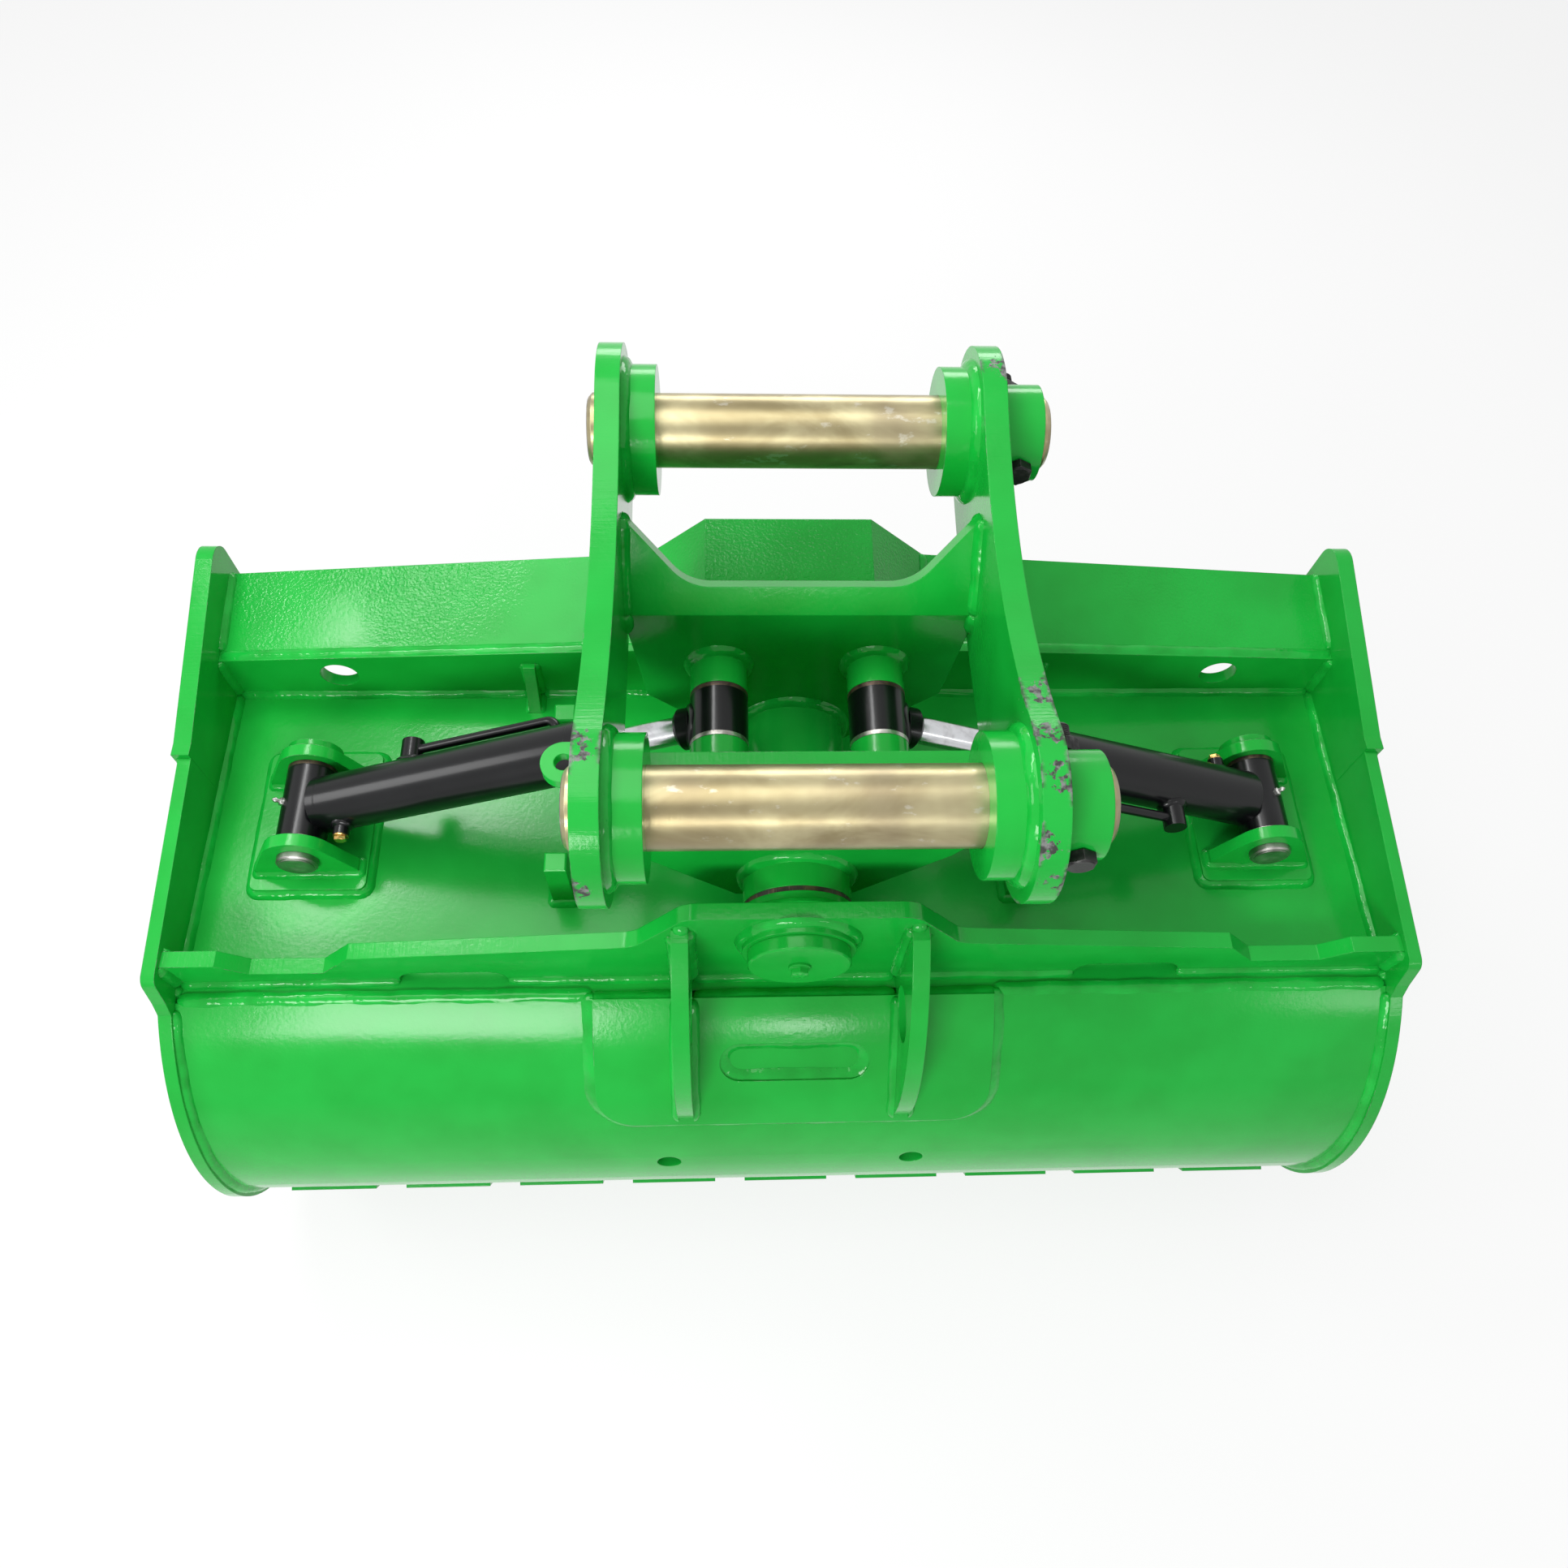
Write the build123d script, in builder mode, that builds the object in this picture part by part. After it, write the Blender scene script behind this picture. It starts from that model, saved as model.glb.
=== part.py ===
from build123d import *
import math
import os

os.makedirs("parts", exist_ok=True)

# A hydraulic tilt bucket for an excavator. Millimetres, X across the bucket, Y from the heel
# to the mouth, Z up. The origin is on the ground, under the middle of the whole bucket.

# Bucket body
INNER_WIDTH = 1500.0
SIDE_T = 16.0
CUTTER_T = 22.0
SHELL_T = 14.0
DECK_T = 16.0
WEAR_T = 11.0
SHELL_DEPTH = 560.0
SHELL_TAIL = 188.0
HEEL_RADIUS = 270.0
SHELL_FRONT = 450.0
EDGE_TIP = 650.0
EDGE_BEVEL = 60.0
EDGE_NOSE = 8.0
DECK_LEDGE = 17.0
DECK_JOINT = 11.0
DRAIN_RADIUS = 16.0
DRAIN_X = 162.0
DRAIN_ANGLE = 78.6
WEAR_WIDTH = 120.0
WEAR_GAP = 43.0
WEAR_START_ANGLE = 112.0
WEAR_FRONT = 300.0

# Side plates and side cutters, seen from the side: measured from the rear bulkhead and deck
CUTTER_SEAM = 262.0
JOG_Y, JOG_Z = 279.0, 104.0
SIDE_REAR_Z = 66.0
SIDE_REAR_Y = -20.0
SIDE_WAIST_Y = -32.0
SIDE_WAIST_Z = 24.0
MOUTH_TOP_Y, MOUTH_TOP_Z = 560.0, 165.0
MOUTH_LOW_Y = 634.0
MOUTH_HOLLOW = 14.0
JOG_STEP = 8.0
CORNER_RADIUS = 30.0

# Rear bulkhead: the crest and shoulders from its middle, the rest in from its ends
REAR_T = 20.0
CREST_X, CREST_Z = 130.0, 195.0
SHOULDER_X, SHOULDER_Z = 192.0, 110.0
WING_INSET, WING_Z = 223.0, 82.0
DIP_INSET, DIP_Z = 182.0, 34.0
DIP_END_INSET = 95.0
TIP_INSET, TIP_Z = 63.0, 62.0
SCALLOP_INSET = 332.0
SCALLOP_WIDTH = 130.0
SCALLOP_HEIGHT = 30.0
SCALLOP_CURVE = 24.0

# Front bulkhead and the folded lip cover
FRONT_T = 16.0
FRONT_Y = 415.0
FRONT_Z = 82.0
TOWER_FOOT_X, TOWER_FOOT_Z = 185.0, 106.0
TOWER_TOP_X, TOWER_TOP_Z = 108.0, 200.0
LIP_Y = 546.0
LIP_Z, LIP_FOOT_Z, LIP_TOP_Z = 98.0, 143.0, 215.0
LIP_T = 12.0
PASSAGE_INSET, PASSAGE_Z, PASSAGE_RADIUS = 148.0, 48.0, 25.0
GUSSET_X, GUSSET_T, GUSSET_REACH, GUSSET_Z = 345.0, 16.0, 32.0, 76.0

# Back doubler and lifting lugs behind the rear bulkhead
DOUBLER_T = 10.0
DOUBLER_HALF = 248.0
DOUBLER_END_ANGLE = 61.2
DOUBLER_CORNER = 50.0
SLOT_ANGLE = 45.4
SLOT_LENGTH = 186.0
SLOT_WIDTH = 52.0
LUG_X, LUG_T = 126.0, 20.0
LUG_TOP_Z = 168.0
LUG_FOOT_ANGLE = 59.5
LUG_BULGE_Y, LUG_BULGE_Z = -112.0, 76.0
LUG_HOLE_Y, LUG_HOLE_Z, LUG_HOLE_RADIUS = -63.0, 40.0, 34.0

# Tilt shaft, the hub that turns on it and its bosses
TILT_Z = 125.0
SHAFT_RADIUS = 40.0
SHAFT_BOSS_RADIUS = 66.0
REAR_BOSS_NEAR = -14.0
REAR_BOSS_FAR = 36.0
CAP_RADIUS, CAP_T, CAP_CHAMFER = 60.0, 17.0, 2.0
CAP_BOLT_RADIUS, CAP_WASHER_RADIUS = 6.0, 13.0
CAP_HEAD_AF, CAP_HEAD_T, CAP_WASHER_T = 19.0, 8.0, 3.0
CAP_BOLT_LENGTH = 40.0
HUB_RADIUS = 64.0
HUB_BORE = 48.0
HUB_FAR = 330.0
HUB_BUSH_LENGTH = 60.0
THRUST_RADIUS, THRUST_T = 64.0, 6.0

# Headstock: two ears, two cross plates, hitch pins
EAR_INNER_X, EAR_T = 190.0, 26.0
PIN_GAP = 310.0
PIN_RADIUS = 40.0
PIN_LOW_Y, PIN_LOW_Z = 14.0, 444.0
PIN_HIGH_Y, PIN_HIGH_Z = 487.0, 434.0
EAR_RADIUS = 92.0
EAR_WAIST = 47.0
EAR_BELLY = 119.0
EAR_BOSS_RADIUS = 70.0
COLLAR_RADIUS, COLLAR_LENGTH = 52.0, 50.0
PIN_TAIL = 14.0
PIN_NOSE = 10.0
PIN_CHAMFER = 4.0
PIN_BOLT_RADIUS, PIN_BOLT_AF, PIN_BOLT_HEAD = 9.0, 27.0, 12.0
PIN_BOLT_TAIL = 34.0
PIN_NUT_T = 16.0
CROSS_T = 22.0
FRONT_CROSS_Y = 286.0
REAR_CROSS_Y = 80.0
CROSS_FLANK_X = 176.0
CROSS_KNEE_Z = 205.0
CROSS_NECK_X, CROSS_NECK_Z = 64.0, 92.0
REAR_CROSS_TOP = 392.0
REAR_NECK_X, REAR_NECK_Z = 72.0, 76.0
BEND_Z = 366.0
BEND_ANGLE = 35.0
CROSS_TOP = 32.0
CROSS_DIP_X = 122.0
CROSS_HORN = 108.0
CROSS_CURVE = 55.0
HOSE_EYE_RADIUS, HOSE_EYE_HOLE, HOSE_EYE_T = 22.0, 9.0, 12.0
HOSE_EYE_Y, HOSE_EYE_Z = 74.0, 412.0

# Tilt cylinders
CYLINDER_Y = 210.0
BASE_PIN_INSET, BASE_PIN_Z = 138.0, 57.0
ROD_PIN_X, ROD_PIN_Z = 90.0, 267.0
BASE_PIN_RADIUS = 20.0
ROD_PIN_RADIUS = 15.0
OPEN_PIVOT_PLAY = 12.0
BASE_EYE_RADIUS, BASE_EYE_LENGTH = 30.0, 98.0
ROD_EYE_RADIUS, ROD_EYE_LENGTH = 33.0, 58.0
EYE_SINK = 4.0
EYE_RING_T = 5.0
BASE_BUSH_WALL = 5.0
BARREL_RADIUS, BARREL_BORE = 36.0, 30.0
BARREL_LENGTH = 374.0
BARREL_END_T = 22.0
GLAND_LENGTH, GLAND_LIP, GLAND_SHOULDER = 44.0, 16.0, 4.0
ROD_RADIUS = 16.0
ROD_NECK_RADIUS, ROD_NECK_LENGTH = 24.0, 20.0
PISTON_LENGTH = 34.0
PISTON_BACK = 190.0
PIPE_RADIUS = 6.0
PORT_RADIUS, PORT_RISE, PORT_SINK = 14.0, 30.0, 2.0
PLUG_RADIUS = 10.0
PORT_BASE_S = 60.0
PORT_PIPE_S = 150.0
PORT_GLAND_S = 352.0
PIPE_STANDOFF = 15.0
ROD_BOSS_RADIUS = 33.0
PAD_T, PAD_WIDTH, PAD_LENGTH = 12.0, 145.0, 196.0
BASE_LUG_T, BASE_LUG_RADIUS, BASE_LUG_FOOT = 16.0, 42.0, 128.0
BASE_LUG_BOSS, BASE_LUG_BOSS_T = 34.0, 12.0
BASE_LUG_FLANK = 30.0
PIN_HEAD_RADIUS, PIN_HEAD_T = 25.0, 9.0
STOP_X, STOP_WIDTH, STOP_DEPTH, STOP_Z = 276.0, 27.0, 25.0, 100.0
STOP_NEAR_Y, STOP_FAR_Y = 102.0, 312.0

# Clearances
FIT = 0.05
END_GAP = 0.4

# Shell curves: the back curve meets the deck's rear face and runs into the heel curve at the tail
HEEL_LEVEL = HEEL_RADIUS - SHELL_DEPTH
HEEL_SET = HEEL_RADIUS - SHELL_TAIL
JOINT_REACH = SHELL_TAIL - DECK_LEDGE
JOINT_RISE = -HEEL_LEVEL - DECK_JOINT
BACK_RADIUS = (JOINT_REACH**2 + JOINT_RISE**2 - SHELL_T**2) / (2 * (JOINT_REACH - SHELL_T))
BACK_SET = BACK_RADIUS - SHELL_TAIL
SHELL_START = math.degrees(math.asin((BACK_SET + DECK_LEDGE) / (BACK_RADIUS - SHELL_T)))
RIM_BACK_RADIUS = BACK_RADIUS + WEAR_T
RIM_HEEL_RADIUS = HEEL_RADIUS + WEAR_T

# Derived places
GROUND_DROP = SHELL_DEPTH + WEAR_T
Y0 = -(EDGE_TIP - SHELL_TAIL - WEAR_T) / 2
Z0 = GROUND_DROP
HALF = INNER_WIDTH / 2
EDGE_T = SHELL_T + WEAR_T
HUB_NEAR = REAR_BOSS_FAR + END_GAP + THRUST_T + END_GAP
EAR_OUTER_X = EAR_INNER_X + EAR_T
PIN_SPAN = math.hypot(PIN_HIGH_Y - PIN_LOW_Y, PIN_HIGH_Z - PIN_LOW_Z)
BASE_PIN_X = HALF - BASE_PIN_INSET
CYL_RUN = BASE_PIN_X - ROD_PIN_X
CYL_RISE = ROD_PIN_Z - BASE_PIN_Z
CYL_LENGTH = math.hypot(CYL_RUN, CYL_RISE)
BASE_EYE_TOTAL = BASE_EYE_LENGTH + 2 * EYE_RING_T
ROD_EYE_TOTAL = ROD_EYE_LENGTH + 2 * EYE_RING_T


# Sketch planes: y and z are measured from the rear bulkhead's heel face and the deck
def side_view(x):
    """Across the bucket at x: local X runs to the mouth, local Y runs up."""
    return Plane(origin=(x, Y0, Z0), x_dir=(0, 1, 0), z_dir=(1, 0, 0))


def end_view(y):
    """Upright at y, seen from the heel: local X runs right, local Y runs up."""
    return Plane(origin=(0, Y0 + y, Z0), x_dir=(1, 0, 0), z_dir=(0, -1, 0))


def top_view(z):
    """Level at z above the deck."""
    return Plane(origin=(0, Y0, Z0 + z), x_dir=(1, 0, 0), z_dir=(0, 0, 1))


def along_y(x, y, z):
    """Centred on x and z, starting at y and running towards the mouth."""
    return Plane(origin=(x, Y0 + y, Z0 + z), x_dir=(1, 0, 0), z_dir=(0, 1, 0))


def along_x(x, y, z):
    """Centred on y and z, starting at x and running to the right."""
    return Plane(origin=(x, Y0 + y, Z0 + z), x_dir=(0, 1, 0), z_dir=(1, 0, 0))


def shell_normal(angle):
    """On the back curve's axis, facing out of the shell at an angle from straight up."""
    turn = math.radians(angle)
    return Plane(
        origin=(0, Y0 + BACK_SET, Z0 + HEEL_LEVEL),
        x_dir=(1, 0, 0),
        z_dir=(0, -math.sin(turn), math.cos(turn)),
    )


def cylinder_axis(side, distance):
    """Across a tilt cylinder, at a distance from its base pin towards its rod pin."""
    step = distance / CYL_LENGTH
    return Plane(
        origin=(
            side * (BASE_PIN_X - CYL_RUN * step),
            Y0 + CYLINDER_Y,
            Z0 + BASE_PIN_Z + CYL_RISE * step,
        ),
        x_dir=(0, 1, 0),
        z_dir=(-side * CYL_RUN, 0, CYL_RISE),
    )


def back_point(radius, angle):
    """On a circle round the back curve's axis, at an angle from straight up to the heel."""
    turn = math.radians(angle)
    return (BACK_SET - radius * math.sin(turn), HEEL_LEVEL + radius * math.cos(turn))


def heel_point(radius, angle):
    """On a circle round the heel curve's axis, at an angle from straight up to the heel."""
    turn = math.radians(angle)
    return (HEEL_SET - radius * math.sin(turn), HEEL_LEVEL + radius * math.cos(turn))


def bar(plane, radius, length, bore=0.0, mode=Mode.ADD):
    """A round bar, or a tube where it has a bore, from the plane along its normal."""
    with BuildSketch(plane) as section:
        Circle(radius)
        if bore:
            Circle(bore, mode=Mode.SUBTRACT)
    extrude(section.sketch, amount=length, mode=mode)


def hexagon(plane, across_flats, length):
    """A bolt head or a nut blank, from the plane along its normal."""
    with BuildSketch(plane) as section:
        RegularPolygon(across_flats / 2, 6, major_radius=False)
    extrude(section.sketch, amount=length)


# Shell: one plate rolled from the deck's ledge round the back and heel to the cutting edge
with BuildPart() as shell:
    with BuildSketch(side_view(-HALF)):
        with BuildLine():
            inner_back = BACK_RADIUS - SHELL_T
            inner_heel = HEEL_RADIUS - SHELL_T
            middle = (SHELL_START + 90) / 2
            ThreePointArc(
                back_point(BACK_RADIUS, SHELL_START),
                back_point(BACK_RADIUS, middle),
                back_point(BACK_RADIUS, 90),
            )
            ThreePointArc(
                heel_point(HEEL_RADIUS, 90), heel_point(HEEL_RADIUS, 135), heel_point(HEEL_RADIUS, 180)
            )
            Polyline(
                (HEEL_SET, -SHELL_DEPTH),
                (SHELL_FRONT, -SHELL_DEPTH),
                (SHELL_FRONT, -SHELL_DEPTH + SHELL_T),
                (HEEL_SET, -SHELL_DEPTH + SHELL_T),
            )
            ThreePointArc(
                heel_point(inner_heel, 180), heel_point(inner_heel, 135), heel_point(inner_heel, 90)
            )
            ThreePointArc(
                back_point(inner_back, 90),
                back_point(inner_back, middle),
                back_point(inner_back, SHELL_START),
            )
            Line(back_point(inner_back, SHELL_START), back_point(BACK_RADIUS, SHELL_START))
        make_face()
    extrude(amount=INNER_WIDTH)
    with BuildSketch(shell_normal(DRAIN_ANGLE)):
        with Locations((-DRAIN_X, 0), (DRAIN_X, 0)):
            Circle(DRAIN_RADIUS)
    extrude(amount=BACK_RADIUS + SHELL_T, mode=Mode.SUBTRACT)
shell.part.label = "shell"
export_step(shell.part, "parts/shell.step")

# Deck: the flat top plate, with a narrow ledge behind the rear bulkhead
with BuildPart() as deck:
    with BuildSketch(top_view(-DECK_T)):
        with Locations((0, (FRONT_Y + FRONT_T - DECK_LEDGE) / 2)):
            Rectangle(INNER_WIDTH, FRONT_Y + FRONT_T + DECK_LEDGE)
    extrude(amount=DECK_T)
deck.part.label = "deck"
export_step(deck.part, "parts/deck.step")

# Side plates: they stand proud of the shell all round, with an S bend at the ledge
for name, side in (("left", -1), ("right", 1)):
    with BuildPart() as side_plate:
        with BuildSketch(side_view(side * HALF)) as outline:
            with BuildLine():
                waist_reach = BACK_SET - SIDE_WAIST_Y + JOG_STEP
                waist_angle = math.degrees(math.asin(waist_reach / RIM_BACK_RADIUS))
                Polyline(
                    (SIDE_WAIST_Y, SIDE_WAIST_Z),
                    (SIDE_REAR_Y, SIDE_REAR_Z),
                    (CUTTER_SEAM, JOG_Z - JOG_STEP),
                    (CUTTER_SEAM, -GROUND_DROP),
                    (HEEL_SET, -GROUND_DROP),
                )
                ThreePointArc(
                    heel_point(RIM_HEEL_RADIUS, 180),
                    heel_point(RIM_HEEL_RADIUS, 135),
                    heel_point(RIM_HEEL_RADIUS, 90),
                )
                ThreePointArc(
                    back_point(RIM_BACK_RADIUS, 90),
                    back_point(RIM_BACK_RADIUS, (90 + waist_angle) / 2),
                    back_point(RIM_BACK_RADIUS, waist_angle),
                )
                Line(back_point(RIM_BACK_RADIUS, waist_angle), (SIDE_WAIST_Y, SIDE_WAIST_Z))
            make_face()
            rear_corner = outline.vertices().sort_by_distance((SIDE_REAR_Y, SIDE_REAR_Z))[0]
            waist = outline.vertices().sort_by_distance((SIDE_WAIST_Y, SIDE_WAIST_Z))[0]
            foot = outline.vertices().sort_by_distance(back_point(RIM_BACK_RADIUS, waist_angle))[0]
            fillet(rear_corner, CORNER_RADIUS / 2)
            fillet(waist, CORNER_RADIUS / 2)
            fillet(foot, CORNER_RADIUS / 3)
        extrude(amount=side * SIDE_T)
    side_plate.part.label = f"{name}_side_plate"
    export_step(side_plate.part, f"parts/{name}_side_plate.step")

# Side cutters: thicker plates at the mouth, flush inside and standing out on the outer face
for name, side in (("left", -1), ("right", 1)):
    with BuildPart() as cutter:
        with BuildSketch(side_view(side * HALF)) as outline:
            with BuildLine():
                edge_top = -GROUND_DROP + EDGE_T
                middle_y = (MOUTH_LOW_Y + MOUTH_TOP_Y) / 2 - MOUTH_HOLLOW
                Polyline(
                    (CUTTER_SEAM, -GROUND_DROP),
                    (CUTTER_SEAM, JOG_Z),
                    (JOG_Y, JOG_Z),
                    (MOUTH_TOP_Y, MOUTH_TOP_Z),
                )
                ThreePointArc(
                    (MOUTH_TOP_Y, MOUTH_TOP_Z),
                    (middle_y, (MOUTH_TOP_Z + edge_top) / 2),
                    (MOUTH_LOW_Y, edge_top),
                )
                Polyline(
                    (MOUTH_LOW_Y, edge_top),
                    (SHELL_FRONT, edge_top),
                    (SHELL_FRONT, -GROUND_DROP),
                    (CUTTER_SEAM, -GROUND_DROP),
                )
            make_face()
            top_corner = outline.vertices().sort_by_distance((MOUTH_TOP_Y, MOUTH_TOP_Z))[0]
            fillet(top_corner, CORNER_RADIUS)
        extrude(amount=side * CUTTER_T)
    cutter.part.label = f"{name}_side_cutter"
    export_step(cutter.part, f"parts/{name}_side_cutter.step")

# Cutting edge: a flat bar under the cutters, ground to a bevel on its upper face
with BuildPart() as cutting_edge:
    with BuildSketch(side_view(-HALF - CUTTER_T)):
        with BuildLine():
            Polyline(
                (SHELL_FRONT, -GROUND_DROP),
                (EDGE_TIP, -GROUND_DROP),
                (EDGE_TIP, -GROUND_DROP + EDGE_NOSE),
                (EDGE_TIP - EDGE_BEVEL, -GROUND_DROP + EDGE_T),
                (SHELL_FRONT, -GROUND_DROP + EDGE_T),
                close=True,
            )
        make_face()
    extrude(amount=INNER_WIDTH + 2 * CUTTER_T)
cutting_edge.part.label = "cutting_edge"
export_step(cutting_edge.part, "parts/cutting_edge.step")

# Wear strips: flat bars bent round the heel, side by side under the shell
with BuildPart() as wear_strips:
    wear_pitch = WEAR_WIDTH + WEAR_GAP
    wear_count = int((INNER_WIDTH + WEAR_GAP) / wear_pitch)
    for index in range(wear_count):
        left_x = (index - (wear_count - 1) / 2) * wear_pitch - WEAR_WIDTH / 2
        with BuildSketch(side_view(left_x)):
            with BuildLine():
                wear_middle = (WEAR_START_ANGLE + 180) / 2
                ThreePointArc(
                    heel_point(HEEL_RADIUS, WEAR_START_ANGLE),
                    heel_point(HEEL_RADIUS, wear_middle),
                    heel_point(HEEL_RADIUS, 180),
                )
                Polyline(
                    (HEEL_SET, -SHELL_DEPTH),
                    (WEAR_FRONT, -SHELL_DEPTH),
                    (WEAR_FRONT, -GROUND_DROP),
                    (HEEL_SET, -GROUND_DROP),
                )
                ThreePointArc(
                    heel_point(RIM_HEEL_RADIUS, 180),
                    heel_point(RIM_HEEL_RADIUS, wear_middle),
                    heel_point(RIM_HEEL_RADIUS, WEAR_START_ANGLE),
                )
                Line(
                    heel_point(RIM_HEEL_RADIUS, WEAR_START_ANGLE),
                    heel_point(HEEL_RADIUS, WEAR_START_ANGLE),
                )
            make_face()
        extrude(amount=WEAR_WIDTH)
wear_strips.part.label = "wear_strips"
export_step(wear_strips.part, "parts/wear_strips.step")

# Rear bulkhead: one upright plate with a raised middle, stepped wings and two drain arches
with BuildPart() as rear_bulkhead:
    with BuildSketch(end_view(REAR_T)) as outline:
        with BuildLine():
            Polyline(
                (0, 0),
                (HALF, 0),
                (HALF, TIP_Z),
                (HALF - TIP_INSET, TIP_Z),
                (HALF - DIP_END_INSET, DIP_Z),
                (HALF - DIP_INSET, DIP_Z),
                (HALF - WING_INSET, WING_Z),
                (SHOULDER_X, SHOULDER_Z),
                (CREST_X, CREST_Z),
                (0, CREST_Z),
                close=True,
            )
        make_face()
        mirror(about=Plane.YZ)
        scallop_x = HALF - SCALLOP_INSET
        with Locations((-scallop_x, 0), (scallop_x, 0)):
            Rectangle(SCALLOP_WIDTH, 2 * SCALLOP_HEIGHT, mode=Mode.SUBTRACT)
        scallop_corners = outline.vertices().filter_by(
            lambda v: abs(v.Y - SCALLOP_HEIGHT) < 0.01 and abs(abs(v.X) - scallop_x) < SCALLOP_WIDTH
        )
        fillet(scallop_corners, SCALLOP_CURVE)
        crest_corners = outline.vertices().filter_by(
            lambda v: abs(v.Y - CREST_Z) < 0.01 or abs(v.Y - SHOULDER_Z) < 0.01
        )
        fillet(crest_corners, CORNER_RADIUS)
    extrude(amount=REAR_T)
    bar(along_y(0, 0, TILT_Z), SHAFT_BOSS_RADIUS + FIT, REAR_T, mode=Mode.SUBTRACT)
rear_bulkhead.part.label = "rear_bulkhead"
export_step(rear_bulkhead.part, "parts/rear_bulkhead.step")

# Front bulkhead: low wings and a raised tower that carries the far end of the tilt shaft
with BuildPart() as front_bulkhead:
    with BuildSketch(end_view(FRONT_Y + FRONT_T)):
        with BuildLine():
            Polyline(
                (0, 0),
                (HALF, 0),
                (HALF, FRONT_Z),
                (TOWER_FOOT_X, TOWER_FOOT_Z),
                (TOWER_TOP_X, TOWER_TOP_Z),
                (0, TOWER_TOP_Z),
                close=True,
            )
        make_face()
        mirror(about=Plane.YZ)
        passage_x = HALF - PASSAGE_INSET
        with Locations((-passage_x, PASSAGE_Z), (passage_x, PASSAGE_Z)):
            Circle(PASSAGE_RADIUS, mode=Mode.SUBTRACT)
    extrude(amount=FRONT_T)
    bar(along_y(0, FRONT_Y, TILT_Z), SHAFT_RADIUS + FIT, FRONT_T, mode=Mode.SUBTRACT)
front_bulkhead.part.label = "front_bulkhead"
export_step(front_bulkhead.part, "parts/front_bulkhead.step")


def fold_underside(x, z, outer, inner):
    """Under a fold at (x, z) between two slopes, each given in radians above level."""
    middle = (outer + inner) / 2
    reach = LIP_T / math.cos((outer - inner) / 2)
    return (x - reach * math.sin(middle), z - reach * math.cos(middle))


def folded_section(side_z, foot_z, top_z):
    """The lip cover's section: wings that rise to a hat over the shaft's end, LIP_T thick."""
    wing = math.atan2(foot_z - side_z, HALF - TOWER_FOOT_X)
    flank = math.atan2(top_z - foot_z, TOWER_FOOT_X - TOWER_TOP_X)
    right = [
        (TOWER_TOP_X, top_z),
        (TOWER_FOOT_X, foot_z),
        (HALF, side_z),
        (HALF, side_z - LIP_T / math.cos(wing)),
        fold_underside(TOWER_FOOT_X, foot_z, wing, flank),
        fold_underside(TOWER_TOP_X, top_z, flank, 0),
    ]
    return right + [(-x, z) for x, z in reversed(right)]


# Lip cover: folded from the front bulkhead's top edge out to the mouth, open underneath
with BuildPart() as lip_cover:
    with BuildSketch(end_view(FRONT_Y + FRONT_T)) as heel_section:
        with BuildLine():
            Polyline(*folded_section(FRONT_Z, TOWER_FOOT_Z, TOWER_TOP_Z), close=True)
        make_face()
    with BuildSketch(end_view(LIP_Y)) as lip_section:
        with BuildLine():
            Polyline(*folded_section(LIP_Z, LIP_FOOT_Z, LIP_TOP_Z), close=True)
        make_face()
    loft(ruled=True)
lip_cover.part.label = "lip_cover"
export_step(lip_cover.part, "parts/lip_cover.step")

# Gussets between the deck and the front bulkhead
with BuildPart() as bulkhead_gussets:
    for side in (-1, 1):
        with BuildSketch(side_view(side * GUSSET_X - GUSSET_T / 2)):
            with BuildLine():
                Polyline(
                    (FRONT_Y - GUSSET_REACH, 0),
                    (FRONT_Y, 0),
                    (FRONT_Y, GUSSET_Z),
                    (FRONT_Y - GUSSET_T / 2, GUSSET_Z),
                    close=True,
                )
            make_face()
        extrude(amount=GUSSET_T)
bulkhead_gussets.part.label = "bulkhead_gussets"
export_step(bulkhead_gussets.part, "parts/bulkhead_gussets.step")

# Back doubler: a plate rolled over the shell, with a slot that is filled by a plug weld
with BuildPart() as back_doubler:
    outer = BACK_RADIUS + DOUBLER_T
    with BuildSketch(side_view(-DOUBLER_HALF)):
        with BuildLine():
            doubler_middle = (SHELL_START + DOUBLER_END_ANGLE) / 2
            ThreePointArc(
                back_point(BACK_RADIUS, SHELL_START),
                back_point(BACK_RADIUS, doubler_middle),
                back_point(BACK_RADIUS, DOUBLER_END_ANGLE),
            )
            Line(back_point(BACK_RADIUS, DOUBLER_END_ANGLE), back_point(outer, DOUBLER_END_ANGLE))
            ThreePointArc(
                back_point(outer, DOUBLER_END_ANGLE),
                back_point(outer, doubler_middle),
                back_point(outer, SHELL_START),
            )
            Line(back_point(outer, SHELL_START), back_point(BACK_RADIUS, SHELL_START))
        make_face()
    extrude(amount=2 * DOUBLER_HALF)
    with BuildSketch(shell_normal(SLOT_ANGLE)):
        SlotOverall(SLOT_LENGTH, SLOT_WIDTH)
    extrude(amount=BACK_RADIUS + 2 * DOUBLER_T, mode=Mode.SUBTRACT)
    end_edges = back_doubler.edges().filter_by_position(Axis.X, -DOUBLER_HALF, -DOUBLER_HALF)
    end_edges += back_doubler.edges().filter_by_position(Axis.X, DOUBLER_HALF, DOUBLER_HALF)
    corner_z = Z0 + back_point(BACK_RADIUS, DOUBLER_END_ANGLE)[1] + DOUBLER_T
    low_corners = end_edges.filter_by(GeomType.LINE).filter_by(lambda e: e.center().Z < corner_z)
    fillet(low_corners, DOUBLER_CORNER)
back_doubler.part.label = "back_doubler"
export_step(back_doubler.part, "parts/back_doubler.step")

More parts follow.
